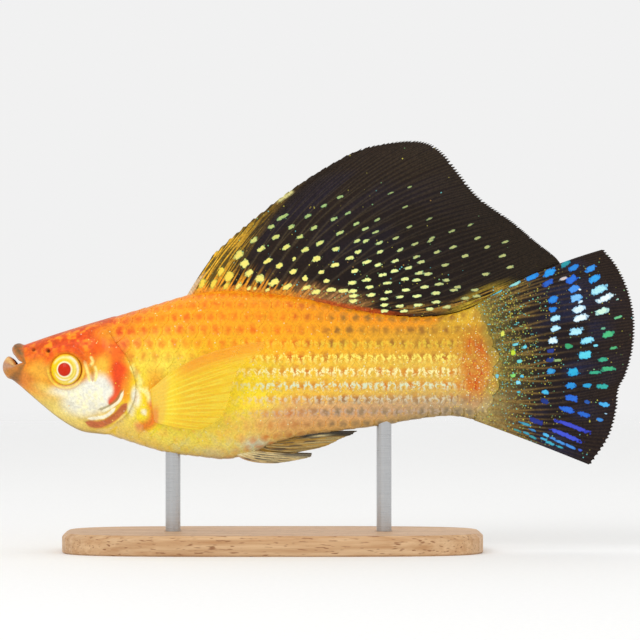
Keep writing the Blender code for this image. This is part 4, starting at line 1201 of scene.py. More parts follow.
# %% Rays as curves
def bend(root, control, tip, t):
    """Point of a ray: root (1-t)^2 + control 2t(1-t) + tip t^2."""
    return root * (1 - t) ** 2 + control * 2 * t * (1 - t) + tip * t * t


def ray_tips(tips, ray):
    """End of each ray, by a smooth curve through a list of (ray, s, h)."""
    order, *ends = zip(*tips)
    return stacked(*(through(list(zip(order, end)), ray) for end in ends))


def leaning_ray(root, tip, lean, pull, t):
    """A ray that leaves its root at the angle lean above the level and then bends towards its tip."""
    reach = length(tip - root)[..., None]
    control = root + pull * reach * stacked(np.cos(lean), np.sin(lean))
    return bend(root, control, tip, t[..., None])


FORK_RUN = 0.3  # share of a ray along which two branches part


def forked(ray, t, forks):
    """Distance in rays to the nearest branch: |x| of the nearest ray, folded again at each fork."""
    away = np.abs(ray - np.round(ray))
    for start, spread in forks:
        away = np.abs(away - spread * smooth((t - start) / FORK_RUN))
    return away


print("a ray forked at 0.3 is apart by", float(forked(np.array(0.0), np.array(1.0), [(0.3, 0.24)])), "rays")

# %% A fin from its middle surface
ROOT_SUNK = 0.045  # share of a ray that is hidden in the flesh
FIN_NOTCH = 0.016  # share of a ray by which the web between branches is shorter
BRANCH_HALF, ROOT_EXTRA = 0.17, 0.10  # millimetres: half a branch's width, and what it has more at its root


def fin(name, place, rays, shape, forks, thickness, ridge, look, finish, flare):
    """A fin: middle surface from place(ray, t), thickened by web and branches, with the marks of look.

    The flare says how much thicker each half is at the root, and how soon that fades, as a share of a ray.
    """
    rows, columns = shape
    ray = np.linspace(0, rays - 1, columns)[None, :] + np.zeros((rows, 1))
    t = np.linspace(-ROOT_SUNK, 1, rows)[:, None] + np.zeros((1, columns))
    gap = length(np.gradient(place(ray, t), axis=1)) * (columns - 1) / (rays - 1)
    branch = hill(forked(ray, t, forks) * gap, BRANCH_HALF + ROOT_EXTRA * (1 - smooth(t / 0.5)))
    notch = FIN_NOTCH * (1 - branch[-1:, :]) * smooth((t - 0.6) / 0.4)
    centre = place(ray, np.where(t > 0, t * (1 - notch), t))
    down = np.gradient(centre, axis=0)
    run = np.cumsum(length(down), axis=0)
    normal = np.cross(down, np.gradient(centre, axis=1))
    normal /= length(normal, keepdims=True)
    side_edge = np.minimum(ray, rays - 1 - ray) * gap
    rounding = np.sqrt(1 - (1 - np.clip(side_edge / 0.3, 0.0, 1)) ** 2) * 0.85 + 0.15
    half = thickness + flare[0] * np.exp(-np.clip(t, 0, 1) / flare[1]) + ridge * branch * (1 - 0.45 * t)
    half = half * rounding * (1 - 0.45 * smooth((t - 0.96) / 0.04))
    offset = normal * half[..., None]
    marks = {**look(ray, t, centre, branch, run), "lie": stacked(ray, run, branch)}
    sheet(name, centre - offset, centre + offset, marks, finish)


def dash_field(centre, lean, dashes):
    """Colour of the nearest dash, and as fourth number the distance to it: 1 on its edge, below 1 inside."""
    cos, sin = np.cos(np.radians(lean)), np.sin(np.radians(lean))
    shade, nearest = np.zeros(centre.shape), np.full(centre.shape[:2], 2.0)
    for s, h, half_length, half_width, colour in dashes:
        ds, dh = centre[..., 0] - s, centre[..., 2] - h
        along = np.abs(ds * cos + dh * sin) / half_length
        over = np.abs(ds * sin - dh * cos) / half_width
        away = (along ** 2.6 + over ** 2.6) ** (1 / 2.6)
        shade[away < nearest] = linear(colour) if isinstance(colour, str) else colour
        nearest = np.minimum(nearest, away)
    return np.concatenate([shade, nearest[..., None]], -1)


print("the web ends", FIN_NOTCH, "of a ray before the branches")

# %% [markdown]
# Fin rays are jointed like bamboo, every half millimetre or so. That is too fine for the mesh, so the
# finish reads the distance along the ray, kept as the attribute lie, and rings the branches with a bump.
# The dark fins carry bright dashes too. The mesh only knows how far off the nearest one is; the nodes draw
# its edge there, ragged by a fine noise and bluer towards the rim, so it stays crisp between mesh points.

# %% Joints along the rays
JOINT_PITCH = 0.62  # millimetres from joint to joint along a ray


def fin_finish(name, grain_depth, rough, joint_height, clear=None, **constants):
    """Pigmented membrane with joints on its branches: a sine of the distance along the ray.

    Where clear is given, the membrane thins out by that distance: (from mm, to mm, from alpha, to alpha).
    """
    made, tree, shader = parts_of(pigmented(name, grain_depth, 0.00002, rough, **constants))
    lie = node(tree, "Attribute", attribute_name="lie")
    parts = node(tree, "SeparateXYZ", {"Vector": lie.outputs["Vector"]})
    turn = node(tree, "Math", {0: parts.outputs["Y"], 1: 2 * math.pi / JOINT_PITCH}, operation="MULTIPLY")
    wave = node(tree, "Math", {0: turn}, operation="SINE")
    joints = node(tree, "Math", {0: wave, 1: parts.outputs["Z"]}, operation="MULTIPLY")
    first = shader.inputs["Normal"].links[0].from_socket
    bump = node(tree, "Bump", {"Height": joints, "Strength": 0.6, "Distance": joint_height, "Normal": first})
    feed(tree, shader, {"Normal": bump})
    if clear:
        limits = dict(zip(("From Min", "From Max", "To Min", "To Max"), clear))
        feed(tree, shader, {"Alpha": node(tree, "MapRange", {"Value": parts.outputs["Y"], **limits})})
    return made


# The pale webs are smooth, under a soft coat of mucus.
PALE_MEMBRANE = fin_finish("pale_fin_membrane_on_jointed_rays", 0.10, (0.28, 0.42), 0.00004,
                           Coat_Weight=0.25, Coat_Roughness=0.2)
CLEAR_YELLOW = fin_finish("clear_yellow_membrane_on_jointed_rays", 0.06, (0.25, 0.38), 0.00001,
                          (5.0, 17.0, 0.9, 0.42), Coat_Weight=0.2, Coat_Roughness=0.15)
print("finishes:", PALE_MEMBRANE.name, CLEAR_YELLOW.name)

# %% Bright dashes on a dark web
RAG = MM / 1.9  # from bite to bite out of a dash's edge, 0.5 mm
BLUER = (0.28, 0.50, 0.75, 1)  # how much of its red, green and blue a dash keeps at its rim


def dashed(made):
    """Adds dashes to a finish, where the distance in the attribute dash falls below its edge."""
    made, tree, shader = parts_of(made)
    ground = shader.inputs["Base Color"].links[0].from_socket
    dash = node(tree, "Attribute", attribute_name="dash")
    here = node(tree, "TexCoord").outputs["Object"]
    ragged = node(tree, "TexNoise", {"Vector": here, "Scale": 1 / RAG, "Detail": 2.0})
    away = node(tree, "Math", {0: ragged, 1: 1.4, 2: dash.outputs["Alpha"]}, operation="MULTIPLY_ADD")
    inside, core = (node(tree, "MapRange", {"Value": away, "From Min": outer, "From Max": inner})
                    for outer, inner in ((1.76, 1.62), (1.74, 1.35)))
    rim = node(tree, "Mix", {"Factor": core, "A": BLUER, "B": (1, 1, 1, 1)}, data_type="RGBA")
    shade = node(tree, "VectorMath", {0: dash, 1: rim}, operation="MULTIPLY")
    drawn = node(tree, "Mix", {"Factor": inside, "A": ground, "B": shade}, data_type="RGBA")
    feed(tree, shader, {"Base Color": drawn})
    return made


# The dark web is duller and strongly grained, so the dashes seem to glow on it.
DARK_MEMBRANE = dashed(fin_finish("dark_fin_membrane_on_jointed_rays", 0.35, (0.38, 0.55), 0.00005,
                                  sparks=PAINTED_FIN_GLINTS, Specular_IOR_Level=0.14))
print("finish:", DARK_MEMBRANE.name)

# %% [markdown]
# ### The sail
# The dorsal fin of the male is his banner: black brown with a blue sheen, gold in front and at its foot,
# and set with rows of pale yellow dashes that lie between the rays. The dashes were placed row by row;
# their colour cools from yellow in front to olive towards the tip.

# %% Shape of the sail
DORSAL_RAYS = 18
DORSAL_ROOTS = (36.8, 79.0)
DORSAL_TIPS = [(0, 41.8, 22.4), (1, 49.0, 28.8), (2, 58.0, 35.8), (3, 65.4, 40.6), (4, 72.4, 44.2),
               (5, 79.4, 45.6), (6, 84.6, 45.4), (7, 88.2, 43.2), (8, 91.4, 39.2), (9, 94.4, 35.3),
               (11, 101.6, 29.8), (13, 106.3, 25.8), (15, 109.8, 23.2), (17, 111.6, 21.3)]
DORSAL_LEAN = [(0, 60), (5, 62), (8, 56), (11, 38), (13, 18), (15, 4), (17, -2)]
DORSAL_LAST_RAY = [(79.0, 10.7), (83.4, 10.2), (87.4, 10.3), (90.4, 10.8), (93.4, 12.0), (97.4, 14.0),
                   (103.4, 17.0), (111.6, 20.9)]
SAIL_WAVE = 1.1
SAIL_STEPS, SAIL_STEP = 5, (-0.45, 0.1)  # steps to a ray's width of the front edge, and each one's reach


def dorsal_point(ray, t):
    """Middle of the sail, with a slow wave sideways; its front edge is stepped, its last ray hangs low."""
    share = ray / (DORSAL_RAYS - 1)
    shown, hidden = np.clip(t, 0, 1), np.clip(t, -1, 0)[..., None]
    root_s = DORSAL_ROOTS[0] + (DORSAL_ROOTS[1] - DORSAL_ROOTS[0]) * share
    root = stacked(root_s, through(BACK, root_s) - 0.15)
    lean = np.radians(through(DORSAL_LEAN, ray))
    flat = leaning_ray(root, ray_tips(DORSAL_TIPS, ray), lean, 0.5, t) + hidden * (0, 12)
    last = path(DORSAL_LAST_RAY, shown) + hidden * (30, 0)
    flat += (last - flat) * (share ** 9)[..., None]
    step = np.mod(SAIL_STEPS * ray, 1) * smooth((4.8 - ray) / 1.2) * smooth((t - 0.85) / 0.15)
    flat += step[..., None] * SAIL_STEP
    wave = SAIL_WAVE * np.sin(2 * np.pi * (0.9 * share + 0.15)) * shown ** 1.5
    wave += 1.0 * share ** 9 * smooth(t / 0.3)
    return stacked(flat[..., 0], wave, flat[..., 1])


print("tip of the highest ray:", dorsal_point(np.array(5.0), np.array(1.0)).round(1).tolist())

# %% Dashes of the sail
# Small dashes by their middles (s, h); the larger ones in front add half their length and half their width.
SAIL_DASHES = [
    (50.2, 25.8), (51.6, 24.0), (53.6, 28.4), (56.4, 30.6), (55.6, 30.2), (57.6, 28.4), (54.6, 26.4),
    (59.4, 26.4), (56.6, 24.4), (60.4, 23.8), (66.4, 20.8), (61.0, 30.6), (64.2, 32.6), (67.4, 34.4),
    (66.2, 30.0), (62.2, 28.2), (67.4, 27.2), (70.6, 29.0), (63.4, 25.2), (66.6, 24.0), (70.8, 25.6),
    (71.0, 23.4), (69.4, 22.2), (70.4, 19.6), (69.8, 17.2), (75.4, 23.4), (75.2, 25.2), (75.0, 20.8),
    (75.8, 18.8), (74.6, 27.4), (77.6, 35.2), (80.4, 32.4), (81.2, 28.4), (78.4, 21.6), (76.8, 17.2),
    (77.0, 15.4), (72.6, 17.8), (73.4, 16.4), (73.6, 14.8), (78.2, 19.6), (80.4, 18.0), (81.0, 20.2),
    (82.6, 22.4), (83.2, 19.2), (80.6, 15.8), (79.4, 14.4), (82.8, 14.6), (79.4, 12.6), (76.2, 14.0),
    (76.2, 12.8), (76.2, 11.6), (70.0, 15.6), (70.2, 14.6), (70.0, 13.6), (80.2, 11.6), (85.2, 30.0),
    (81.4, 36.4), (85.8, 26.2), (89.8, 27.6), (85.4, 25.6), (90.0, 24.4), (93.4, 28.8), (94.8, 26.2),
    (100.4, 25.4), (96.8, 24.4), (92.4, 22.6), (99.8, 22.6), (83.6, 21.4), (88.4, 20.8), (84.8, 19.0),
    (88.6, 17.8), (96.6, 19.0), (101.4, 20.4), (84.4, 16.4), (90.8, 16.4), (86.6, 15.2), (90.2, 15.8),
    (86.6, 13.4), (83.0, 12.8), (85.4, 12.0), (88.8, 12.4), (94.4, 15.8), (94.8, 14.6), (92.4, 14.2),
    (62.6, 15.4), (65.6, 15.8), (68.0, 15.6), (82.6, 17.8), (69.0, 31.2), (72.8, 21.4), (72.4, 28.0),
    (74.8, 29.8), (78.6, 26.2), (79.4, 23.8), (72.6, 25.6), (82.4, 25.0), (86.8, 23.4), (87.2, 17.0)]
FRONT_DASHES = [
    (39.9, 17.1, 1.0, 0.5), (42.1, 17.0, 0.9, 0.5), (43.6, 19.5, 0.9, 0.5), (45.2, 18.5, 1.2, 0.75),
    (44.7, 16.6, 0.8, 0.4), (47.1, 16.6, 0.8, 0.4), (49.2, 16.1, 0.5, 0.3), (50.4, 16.1, 0.5, 0.3),
    (52.9, 15.8, 0.5, 0.3), (47.1, 22.8, 1.1, 0.7), (48.3, 21.1, 1.0, 0.75), (52.9, 21.6, 1.0, 0.4),
    (49.2, 19.1, 0.8, 0.65), (51.4, 18.1, 0.9, 0.75), (54.2, 17.3, 1.1, 0.55), (56.9, 16.5, 0.95, 0.45),
    (60.7, 16.3, 0.95, 0.4), (60.4, 18.1, 0.6, 0.55), (64.7, 17.6, 0.65, 0.4), (63.7, 19.4, 0.75, 0.35),
    (58.1, 19.5, 0.85, 0.5), (55.2, 20.6, 0.85, 0.5), (58.2, 22.0, 0.45, 0.4), (62.7, 22.0, 1.0, 0.5)]


def sail_dashes():
    """All dashes of the sail with sizes and colours: shorter, thinner and duller upwards and rearwards."""
    made = []
    for s, h, *size in SAIL_DASHES + FRONT_DASHES:
        height, back = smooth((h - 19) / 14), smooth((s - 56) / 26)
        size = size or (0.95 - 0.2 * height - 0.15 * back, 0.47 - 0.13 * height - 0.16 * back)
        colour = paint(linear("#FBD84A"), [
            ("#FFF07C", smooth((s - 44) / 5)), ("#F4FAA0", back), ("#94B874", 0.9 * height),
            ("#98945A", 0.6 * back * smooth((s + h - 96) / 12))])
        made.append((s, h, *size, colour))
    return made


print("dashes on the sail:", len(sail_dashes()))

# %% Colour of the sail
def sail_look(ray, t, centre, branch, run):
    """Black brown web with a painted blue-violet sheen, gold front and foot, tan behind the foot, a painted
    highlight on the upper edge, and the dashes.
    """
    s, h = centre[..., 0], centre[..., 2]
    above = h - through(BACK, s)
    fine, broad = flat_noise(ray * 6, t * 14, 7), flat_noise(ray * 0.9, t * 5, 8)
    streaks = flat_noise(ray * 9, run / 3.0, 9)
    front = smooth((3.9 - ray - 1.2 * t) / 2.6)
    gilt = front * (1 - 0.55 * smooth((h - 24) / 9)) * smooth((streaks - 0.38) / 0.22)
    foot = smooth((6.8 - ray) / 3) * (1 - smooth((above - 0.8) / 5.0))
    behind = smooth((s - 55) / 5) * smooth((76 - s) / 8) * (1 - smooth((above - 1.2) / 3.0))
    behind *= 0.4 + 0.8 * smooth((streaks - 0.35) / 0.35)
    ember = 1 - smooth((above - 0.2 - 1.9 * smooth((streaks - 0.42) / 0.3)) / 0.8)
    ember *= smooth((65 - s) / 9)
    corner = oval(s, h, (95.0, 13.4), (5.5, 1.8), 0.8, 28) * smooth((streaks - 0.3) / 0.3)
    red_line = 1 - smooth((above - 0.3) / 0.5)
    colour = paint(evenly("#231710", t), [
        # Painted sheen: blue-violet streaks over the middle of the web.
        ("#191A38", 0.45 * smooth((broad - 0.4) / 0.3) * hill(ray - 7, 4.0) * hill(t - 0.5, 0.35)),
        ("#150D09", 0.6 * smooth((ray - 5) / 6)),
        ("#54472F", 0.5 * branch * (1 - 0.5 * smooth((t - 0.3) / 0.4)) * (1 - 0.45 * smooth((ray - 7) / 5))),
        ("#6A5418", 0.85 * front),
        ("#F0B830", 0.92 * gilt),
        ("#F2A822", 0.85 * foot * np.maximum(branch, smooth((streaks - 0.44) / 0.18))),
        ("#C08C50", 0.85 * behind),
        ("#8A5A38", 0.5 * behind * smooth((streaks - 0.5) / 0.2)),
        ("#B98A3C", 0.7 * hill(above - 1.3, 0.8) * smooth((ray - 12) / 3) * smooth((fine - 0.45) / 0.2)),
        (mix(linear("#F4B034"), "#DC7A1A", fine), 0.8 * ember),
        ("#B44A10", 0.85 * red_line * smooth((s - 58) / 8) * smooth((84 - s) / 10)),
        ("#D8C09A", 0.9 * smooth((0.55 - ray) / 0.3) * smooth((0.5 - t) / 0.2)),
        # Painted highlight: a pale glint along the upper edge of the sail.
        ("#E6DE96", 0.85, [(55.0, 33.5), (56.6, 34.6), (58.0, 35.5)], 0.7, 0.8),
        ("#CDAE34", 0.8 * corner)], s, h)
    gold = front + behind + 0.6 * hill(above - 1.2, 1.2)
    # Share of painted glints, spark dots mixed into the colour.
    sparks = 0.024 - 0.02 * smooth(2 * t - 0.6) + 0.12 * np.clip(gold, 0, 1)
    lean = 26 + 34 * smooth((54 - s) / 11) - 21 * smooth((s - 56) / 10) * (1 - 0.9 * smooth((h - 16) / 10))
    return {"tint": with_share(colour, sparks), "dash": dash_field(centre, lean, sail_dashes())}


fin("dorsal_fin", dorsal_point, DORSAL_RAYS, (90, 545), [(0.18, 0.24), (0.42, 0.12), (0.68, 0.06)],
    0.13, 0.13, sail_look, DARK_MEMBRANE, (0.4, 0.08))

# %% [markdown]
# ### The tail fin
# The tail is a near-black fan. Its root keeps the gold and olive of the body, broken up into sparks. Out in
# the webs stand three arcs of bright dashes that run from blue through white to green, and back to blue
# and violet lower down.

# %% Shape of the tail fin
SEAM = 0.3  # millimetres from the flesh to the root of a fin
TAIL_RAYS = 18
TAIL_TIPS = [(0, 120.2, 24.0), (1.5, 122.6, 21.2), (3.5, 124.8, 17.0), (5.5, 126.1, 12.4), (7.5, 126.4, 7.6),
             (9.5, 125.7, 2.4), (11, 124.4, -1.6), (11.8, 123.4, -3.4), (13.5, 122.8, -8.2),
             (15.5, 121.0, -14.2), (17, 117.6, -19.3)]
TAIL_LEAN = [(0, 33), (5, 18), (9, 0), (13, -12), (17, -20)]
TAIL_WAVE = 0.9


def tail_point(ray, t):
    """Middle of the tail fin: rays that fan out from the end of the flesh, with a slow wave sideways."""
    share = ray / (TAIL_RAYS - 1)
    angle = 4 + 172 * share
    root = body(tail_root(angle) + SEAM, angle)[..., ::2]
    flat = leaning_ray(root, ray_tips(TAIL_TIPS, ray), np.radians(through(TAIL_LEAN, ray)), 0.45, t)
    wave = TAIL_WAVE * np.sin(2 * np.pi * (1.1 * share + 0.05)) * np.clip(t, 0, 1) ** 1.6
    return stacked(flat[..., 0], wave, flat[..., 1])


print("middle of the tail's edge:", tail_point(np.array(8.5), np.array(1.0)).round(1).tolist())

# %% Dashes of the tail fin
# Each dash: its middle (s, h), half its length, half its width and its colour.
TAIL_DASHES = [
    (98.4, 15.3, 1.4, 0.35, "#68D0DC"), (102.3, 17.05, 1.2, 0.42, "#9CE4E0"),
    (105.8, 18.4, 1.4, 0.5, "#3098EC"), (109.3, 19.3, 1.25, 0.7, "#2FA0EE"),
    (109.0, 17.2, 1.15, 0.5, "#2C64C8"), (112.5, 21.05, 0.95, 0.5, "#2F9EA8"),
    (114.15, 20.3, 1.05, 0.55, "#2F8CE0"), (112.0, 18.05, 0.8, 0.3, "#D8C8C0"),
    (113.8, 17.9, 1.3, 0.62, "#2E74E0"), (114.15, 16.05, 1.1, 0.6, "#4C98F0"),
    (115.4, 15.9, 0.25, 0.22, "#E8F4F8"), (114.65, 14.2, 1.35, 0.7, "#84C8FA"),
    (115.5, 13.4, 0.5, 0.25, "#E0F6FA"), (115.15, 11.9, 1.3, 0.65, "#E0F8FC"),
    (115.5, 10.2, 1.5, 0.65, "#EEFCFA"), (114.65, 7.5, 1.35, 0.72, "#B8F0FA"),
    (116.9, 5.7, 1.25, 0.65, "#98E8F8"), (118.5, 4.7, 0.45, 0.25, "#80E0F0"),
    (113.0, 4.6, 0.8, 0.52, "#3FA870"), (116.4, 2.8, 1.4, 0.78, "#60D8EC"),
    (110.9, 1.7, 0.7, 0.27, "#98B870"), (114.0, -0.6, 1.15, 0.78, "#30B4E0"),
    (117.5, 20.05, 1.15, 0.55, "#3C98E8"), (118.3, 18.05, 1.3, 0.65, "#38A8F0"),
    (119.3, 15.9, 1.7, 0.7, "#B4F0F8"), (120.5, 14.2, 1.7, 0.6, "#F0FFFA"),
    (119.9, 11.55, 1.5, 0.6, "#D4F8E0"), (122.9, 13.9, 0.3, 0.15, "#B8E0C8"),
    (123.0, 10.3, 0.75, 0.25, "#70C488"), (110.0, 13.9, 0.95, 0.7, "#2E8CE4"),
    (110.0, 11.9, 0.75, 0.55, "#2C88E0"), (110.45, 10.1, 0.95, 0.55, "#BDF0FA"),
    (110.5, 8.1, 1.0, 0.5, "#C4F2FC"), (110.0, 5.7, 0.95, 0.65, "#E4FAFD"),
    (109.5, 3.6, 0.75, 0.4, "#2A3F90"), (109.4, 1.8, 0.75, 0.45, "#263C80"),
    (109.5, -0.45, 0.8, 0.55, "#3CA4DC"), (108.5, -4.6, 0.7, 0.45, "#4CC0E8"),
    (108.3, -6.45, 0.8, 0.5, "#223A88"), (121.0, 6.9, 1.1, 0.6, "#50C080"),
    (119.9, 8.05, 0.5, 0.25, "#70B890"), (122.0, 4.2, 0.8, 0.28, "#58B878"),
    (119.9, 1.9, 0.9, 0.45, "#40B088"), (120.9, 0.05, 1.5, 0.45, "#48B880"),
    (118.3, -0.7, 1.1, 0.35, "#3CB088"), (113.5, -3.3, 1.0, 0.6, "#2F98E0"),
    (116.7, -3.3, 0.85, 0.38, "#2FA8D8"), (119.9, -3.45, 1.05, 0.5, "#38B4A8"),
    (113.65, -5.8, 1.4, 0.58, "#2D70DC"), (116.8, -6.6, 0.5, 0.35, "#2A5CB0"),
    (120.15, -7.1, 1.0, 0.48, "#50B8F0"), (112.9, -8.1, 1.5, 0.55, "#2F70DC"),
    (116.15, -9.1, 1.2, 0.48, "#2C6CD4"), (119.3, -10.1, 0.8, 0.33, "#3F90DC"),
    (120.5, -8.9, 0.3, 0.15, "#A8CCE0"), (106.65, -10.45, 1.5, 0.5, "#2A3890"),
    (113.9, -11.4, 3.5, 0.42, "#4450D0"), (112.5, -13.2, 3.4, 0.42, "#4658D8"),
    (104.4, -10.95, 1.3, 0.25, "#48A0B8"), (102.9, -12.3, 0.9, 0.22, "#4C9890"),
    (104.65, -12.8, 0.7, 0.22, "#48A8C0"), (105.9, -12.2, 0.7, 0.22, "#3F88C0"),
    (105.9, -13.6, 0.7, 0.25, "#40A0A8"), (108.65, -13.2, 0.7, 0.3, "#58C0F0"),
    (109.9, -13.8, 0.65, 0.27, "#4C90E0"), (108.15, -14.0, 0.7, 0.25, "#48B0D8"),
    (111.4, -14.6, 1.0, 0.28, "#4C98E0"), (109.4, -14.8, 1.0, 0.28, "#44B0C8"),
    (113.4, -15.45, 1.1, 0.28, "#4890E0"), (111.4, -15.6, 0.75, 0.22, "#3FA8B8"),
    (115.4, -16.2, 0.5, 0.25, "#4060C8"), (103.8, -1.45, 0.4, 0.33, "#60CCE8"),
    (103.1, -2.7, 0.5, 0.42, "#90E8F8"), (103.1, -4.6, 0.35, 0.25, "#58C8D0"),
    (98.8, -1.45, 0.35, 0.4, "#80D0D8"), (103.3, 1.55, 0.55, 0.35, "#70D8D0"),
    (104.4, 4.4, 0.4, 0.3, "#70D8E8"), (102.5, 4.9, 0.55, 0.25, "#78D8E0"), (102.0, 3.3, 0.6, 0.5, "#C8E03A"),
    (102.0, -1.3, 0.5, 0.35, "#90E070"), (99.9, 7.05, 0.5, 0.5, "#E8E860")]
print("dashes on the tail fin:", len(TAIL_DASHES))

# %% Colour of the tail fin
DASH_LEAN = [(-14, -24), (-8, -15), (-3, -2), (3, 10), (8, 13), (12, 20), (20, 30)]  # h and degrees


def tail_look(ray, t, centre, branch, run):
    """Near-black fan, olive and gold with sparks at its root, brown rays, and three arcs of dashes."""
    s, h = centre[..., 0], centre[..., 2]
    broad, blotch = flat_noise(ray * 0.8, t * 6, 12), flat_noise(s / 1.1, h / 0.8, 13)
    past = past_body(s, h) + 2.4 * (blotch - 0.5)
    web = paint(evenly("#191014", t), [
        ("#201410", 0.8 * smooth((t - 0.72) / 0.2)),
        ("#1B2242", 0.6 * smooth((broad - 0.35) / 0.3) * hill(t - 0.6, 0.25)),
        ("#4A3A26", 0.5 * branch * (1 - 0.5 * smooth((t - 0.5) / 0.3)))])
    colour = paint(dusk(past, h), [
        (web, smooth((past - 6) / 8)),
        ("#8E7036", 0.75 * branch * smooth((past - 1) / 2) * (1 - smooth((past - 7) / 9))),
        (skin_colour(stacked(np.clip(s, 0, 98), -2, h)), 1 - smooth((past + 1.0) / 2.5))])
    # Share of painted glints, spark dots mixed into the colour.
    sparks = 0.03 + (0.85 - 0.55 * smooth((-2.5 - h) / 4)) * (1 - smooth((past - 3.5) / 8.5))
    sparks = sparks + 0.10 * (1 - smooth((s - 109) / 5))
    lean = np.interp(h, *zip(*DASH_LEAN))
    return {"tint": with_share(colour, sparks), "dash": dash_field(centre, lean, TAIL_DASHES)}


fin("caudal_fin", tail_point, TAIL_RAYS, (138, 341), [(0.14, 0.24), (0.5, 0.12)],
    0.14, 0.13, tail_look, DARK_MEMBRANE, (0.6, 0.16))

# %% [markdown]
# ### Pectoral fins
# These fan out low on the flank. They are clear yellow, so thin that the scales behind them show through,
# and a red-orange crescent marks their fleshy base. The membrane grows clearer from root to edge, by the
# distance along its rays.

# %% Shape and colour of the pectoral fins
PECTORAL_RAYS = 13
PECTORAL_ROOT = ((31.0, -3.0), (31.2, -10.2))
PECTORAL_TIPS = [(0, 52.8, 5.6), (2, 51.8, 3.4), (4, 48.0, 0.6), (6, 46.2, -3.4), (8, 45.2, -7.0),
                 (10, 43.2, -10.0), (12, 39.4, -12.0)]
PECTORAL_LEAN = [(0, 44), (4, 24), (8, 4), (12, -18)]
PECTORAL_BASE, PECTORAL_WEB, PECTORAL_SPREAD = 0.5, 0.25, 0.17


def pectoral_point(side):
    """The fin leaves the flank backwards and slightly outwards; side is -1 on the left, 1 on the right."""
    def place(ray, t):
        shown = np.clip(t, 0, 1)
        root = between(PECTORAL_ROOT, (ray / (PECTORAL_RAYS - 1))[..., None])
        tip = ray_tips(PECTORAL_TIPS, ray)
        flat = leaning_ray(root, tip, np.radians(through(PECTORAL_LEAN, ray)), 0.45, t)
        root_s, root_h = root[..., 0], root[..., 1]
        start = flank_angle(root_s, root_h)
        lift = SEAM + PECTORAL_BASE + PECTORAL_WEB - 1.1 * np.exp(-np.clip(t + ROOT_SUNK, 0, 1) / 0.04)
        lifted = body(root_s, start) + body_normal(root_s, start) * lift[..., None]
        run = length(tip - root) * shown
        outward = -lifted[..., 1] + PECTORAL_SPREAD * run + 0.5 * np.sin(np.pi * shown)
        up = (lifted[..., 2] - root_h) * (1 - t)
        return stacked(flat[..., 0], side * outward, flat[..., 1] + up)
    return place


def pectoral_look(ray, t, centre, branch, run):
    """Clear yellow, orange along the upper rays, with a red-orange crescent at the base."""
    fine = flat_noise(ray * 5, run / 2.5, 15)
    return {"tint": paint(evenly("#FFDC10", t), [
        ("#FFF24A", 0.8 * branch * smooth((fine - 0.2) / 0.4)),
        ("#F8B410", 0.45 * (1 - branch) * smooth((t - 0.15) / 0.3)),
        ("#FBA010", 0.8 * smooth((3.2 - ray) / 2.4) * smooth((t - 0.12) / 0.3)),
        ("#F9C048", 0.6 * (1 - smooth((t - 0.10) / 0.10))),
        ("#F4702A", 0.6 * (1 - smooth((t - 0.01) / 0.06)) * smooth((ray - 5) / 4))])}


for side_name, side in SIDES:
    fin("pectoral_fin_" + side_name, pectoral_point(side), PECTORAL_RAYS, (110, 265),
        [(0.35, 0.2), (0.62, 0.1)], 0.09, 0.022, pectoral_look, CLEAR_YELLOW, (0.35, 0.05))

# %% [markdown]
# ### Pelvic and anal fins
# Both are folded back under the belly. The anal fin of a grown male is a slim leaf of thick rays with a
# dark upper edge; the pelvic fins are cream with dark streaks between their rays.

# %% Shape and colour of the pelvic fins
PELVIC_RAYS = 6
PELVIC_ROOT = ((50.4, 1.5), (46.9, 2.4))
PELVIC_TIPS = [(0, 61.8, -16.9), (1, 61.6, -17.4), (2, 60.6, -17.75), (3, 58.9, -18.1), (4, 56.9, -18.45),
               (5, 54.6, -18.75)]
PELVIC_TIP_Y = (3.5, 2.9)


def underside(s, y):
    """Height of the belly at a distance y from the middle: the superellipse solved for its height."""
    level, roundness = through(WIDEST_LEVEL, s), through(LOWER_ROUNDNESS, s)
    side = np.clip(np.abs(y) / through(HALF_BREADTH, s), 0, 1)
    return level - (level - through(BELLY, s)) * (1 - side ** roundness) ** (1 / roundness)


def pelvic_point(side):
    """Each ray bends back from the belly to its tip, from the rearmost ray to the foremost."""
    def place(ray, t):
        share = ray / (PELVIC_RAYS - 1)
        root_s, root_y = (between(pair, share) for pair in zip(*PELVIC_ROOT))
        root = stacked(root_s, root_y, underside(root_s, root_y) + 0.1)
        tip_s, tip_h = np.moveaxis(ray_tips(PELVIC_TIPS, ray), -1, 0)
        tip = stacked(tip_s, between(PELVIC_TIP_Y, share), tip_h)
        control = root + (tip - root) * 0.25 + stacked(0, 0.3, -0.1 - 1.2 * share)
        sunk = np.clip(-t, 0, 1)[..., None] * (0, 0, 16)
        return (bend(root, control, tip, t[..., None]) + sunk) * (1, side, 1)
    return place


def pelvic_look(ray, t, centre, branch, run):
    """Cream rays, black streaks between them, and a red-brown front edge."""
    fine = flat_noise(ray * 4, run / 1.6, 16)
    return {"tint": paint(evenly("#C9B078", t), [
        ("#F2E2A8", 0.8 * branch * smooth((fine - 0.25) / 0.3)),
        ("#2C2014", 0.9 * (1 - branch) * smooth((fine - 0.36) / 0.12) * smooth((t - 0.1) / 0.2)),
        ("#1E1610", 0.85 * smooth((1.8 - ray) / 1.2) * smooth((t - 0.45) / 0.25)),
        ("#A85C34", 0.7 * smooth((ray - 4.2) / 0.8) * (1 - t)),
        ("#F4EBB4", 0.7 * (1 - smooth(t / 0.14)))])}


for side_name, side in SIDES:
    fin("pelvic_fin_" + side_name, pelvic_point(side), PELVIC_RAYS, (80, 121), [(0.35, 0.2)],
        0.11, 0.10, pelvic_look, PALE_MEMBRANE, (0.2, 0.12))

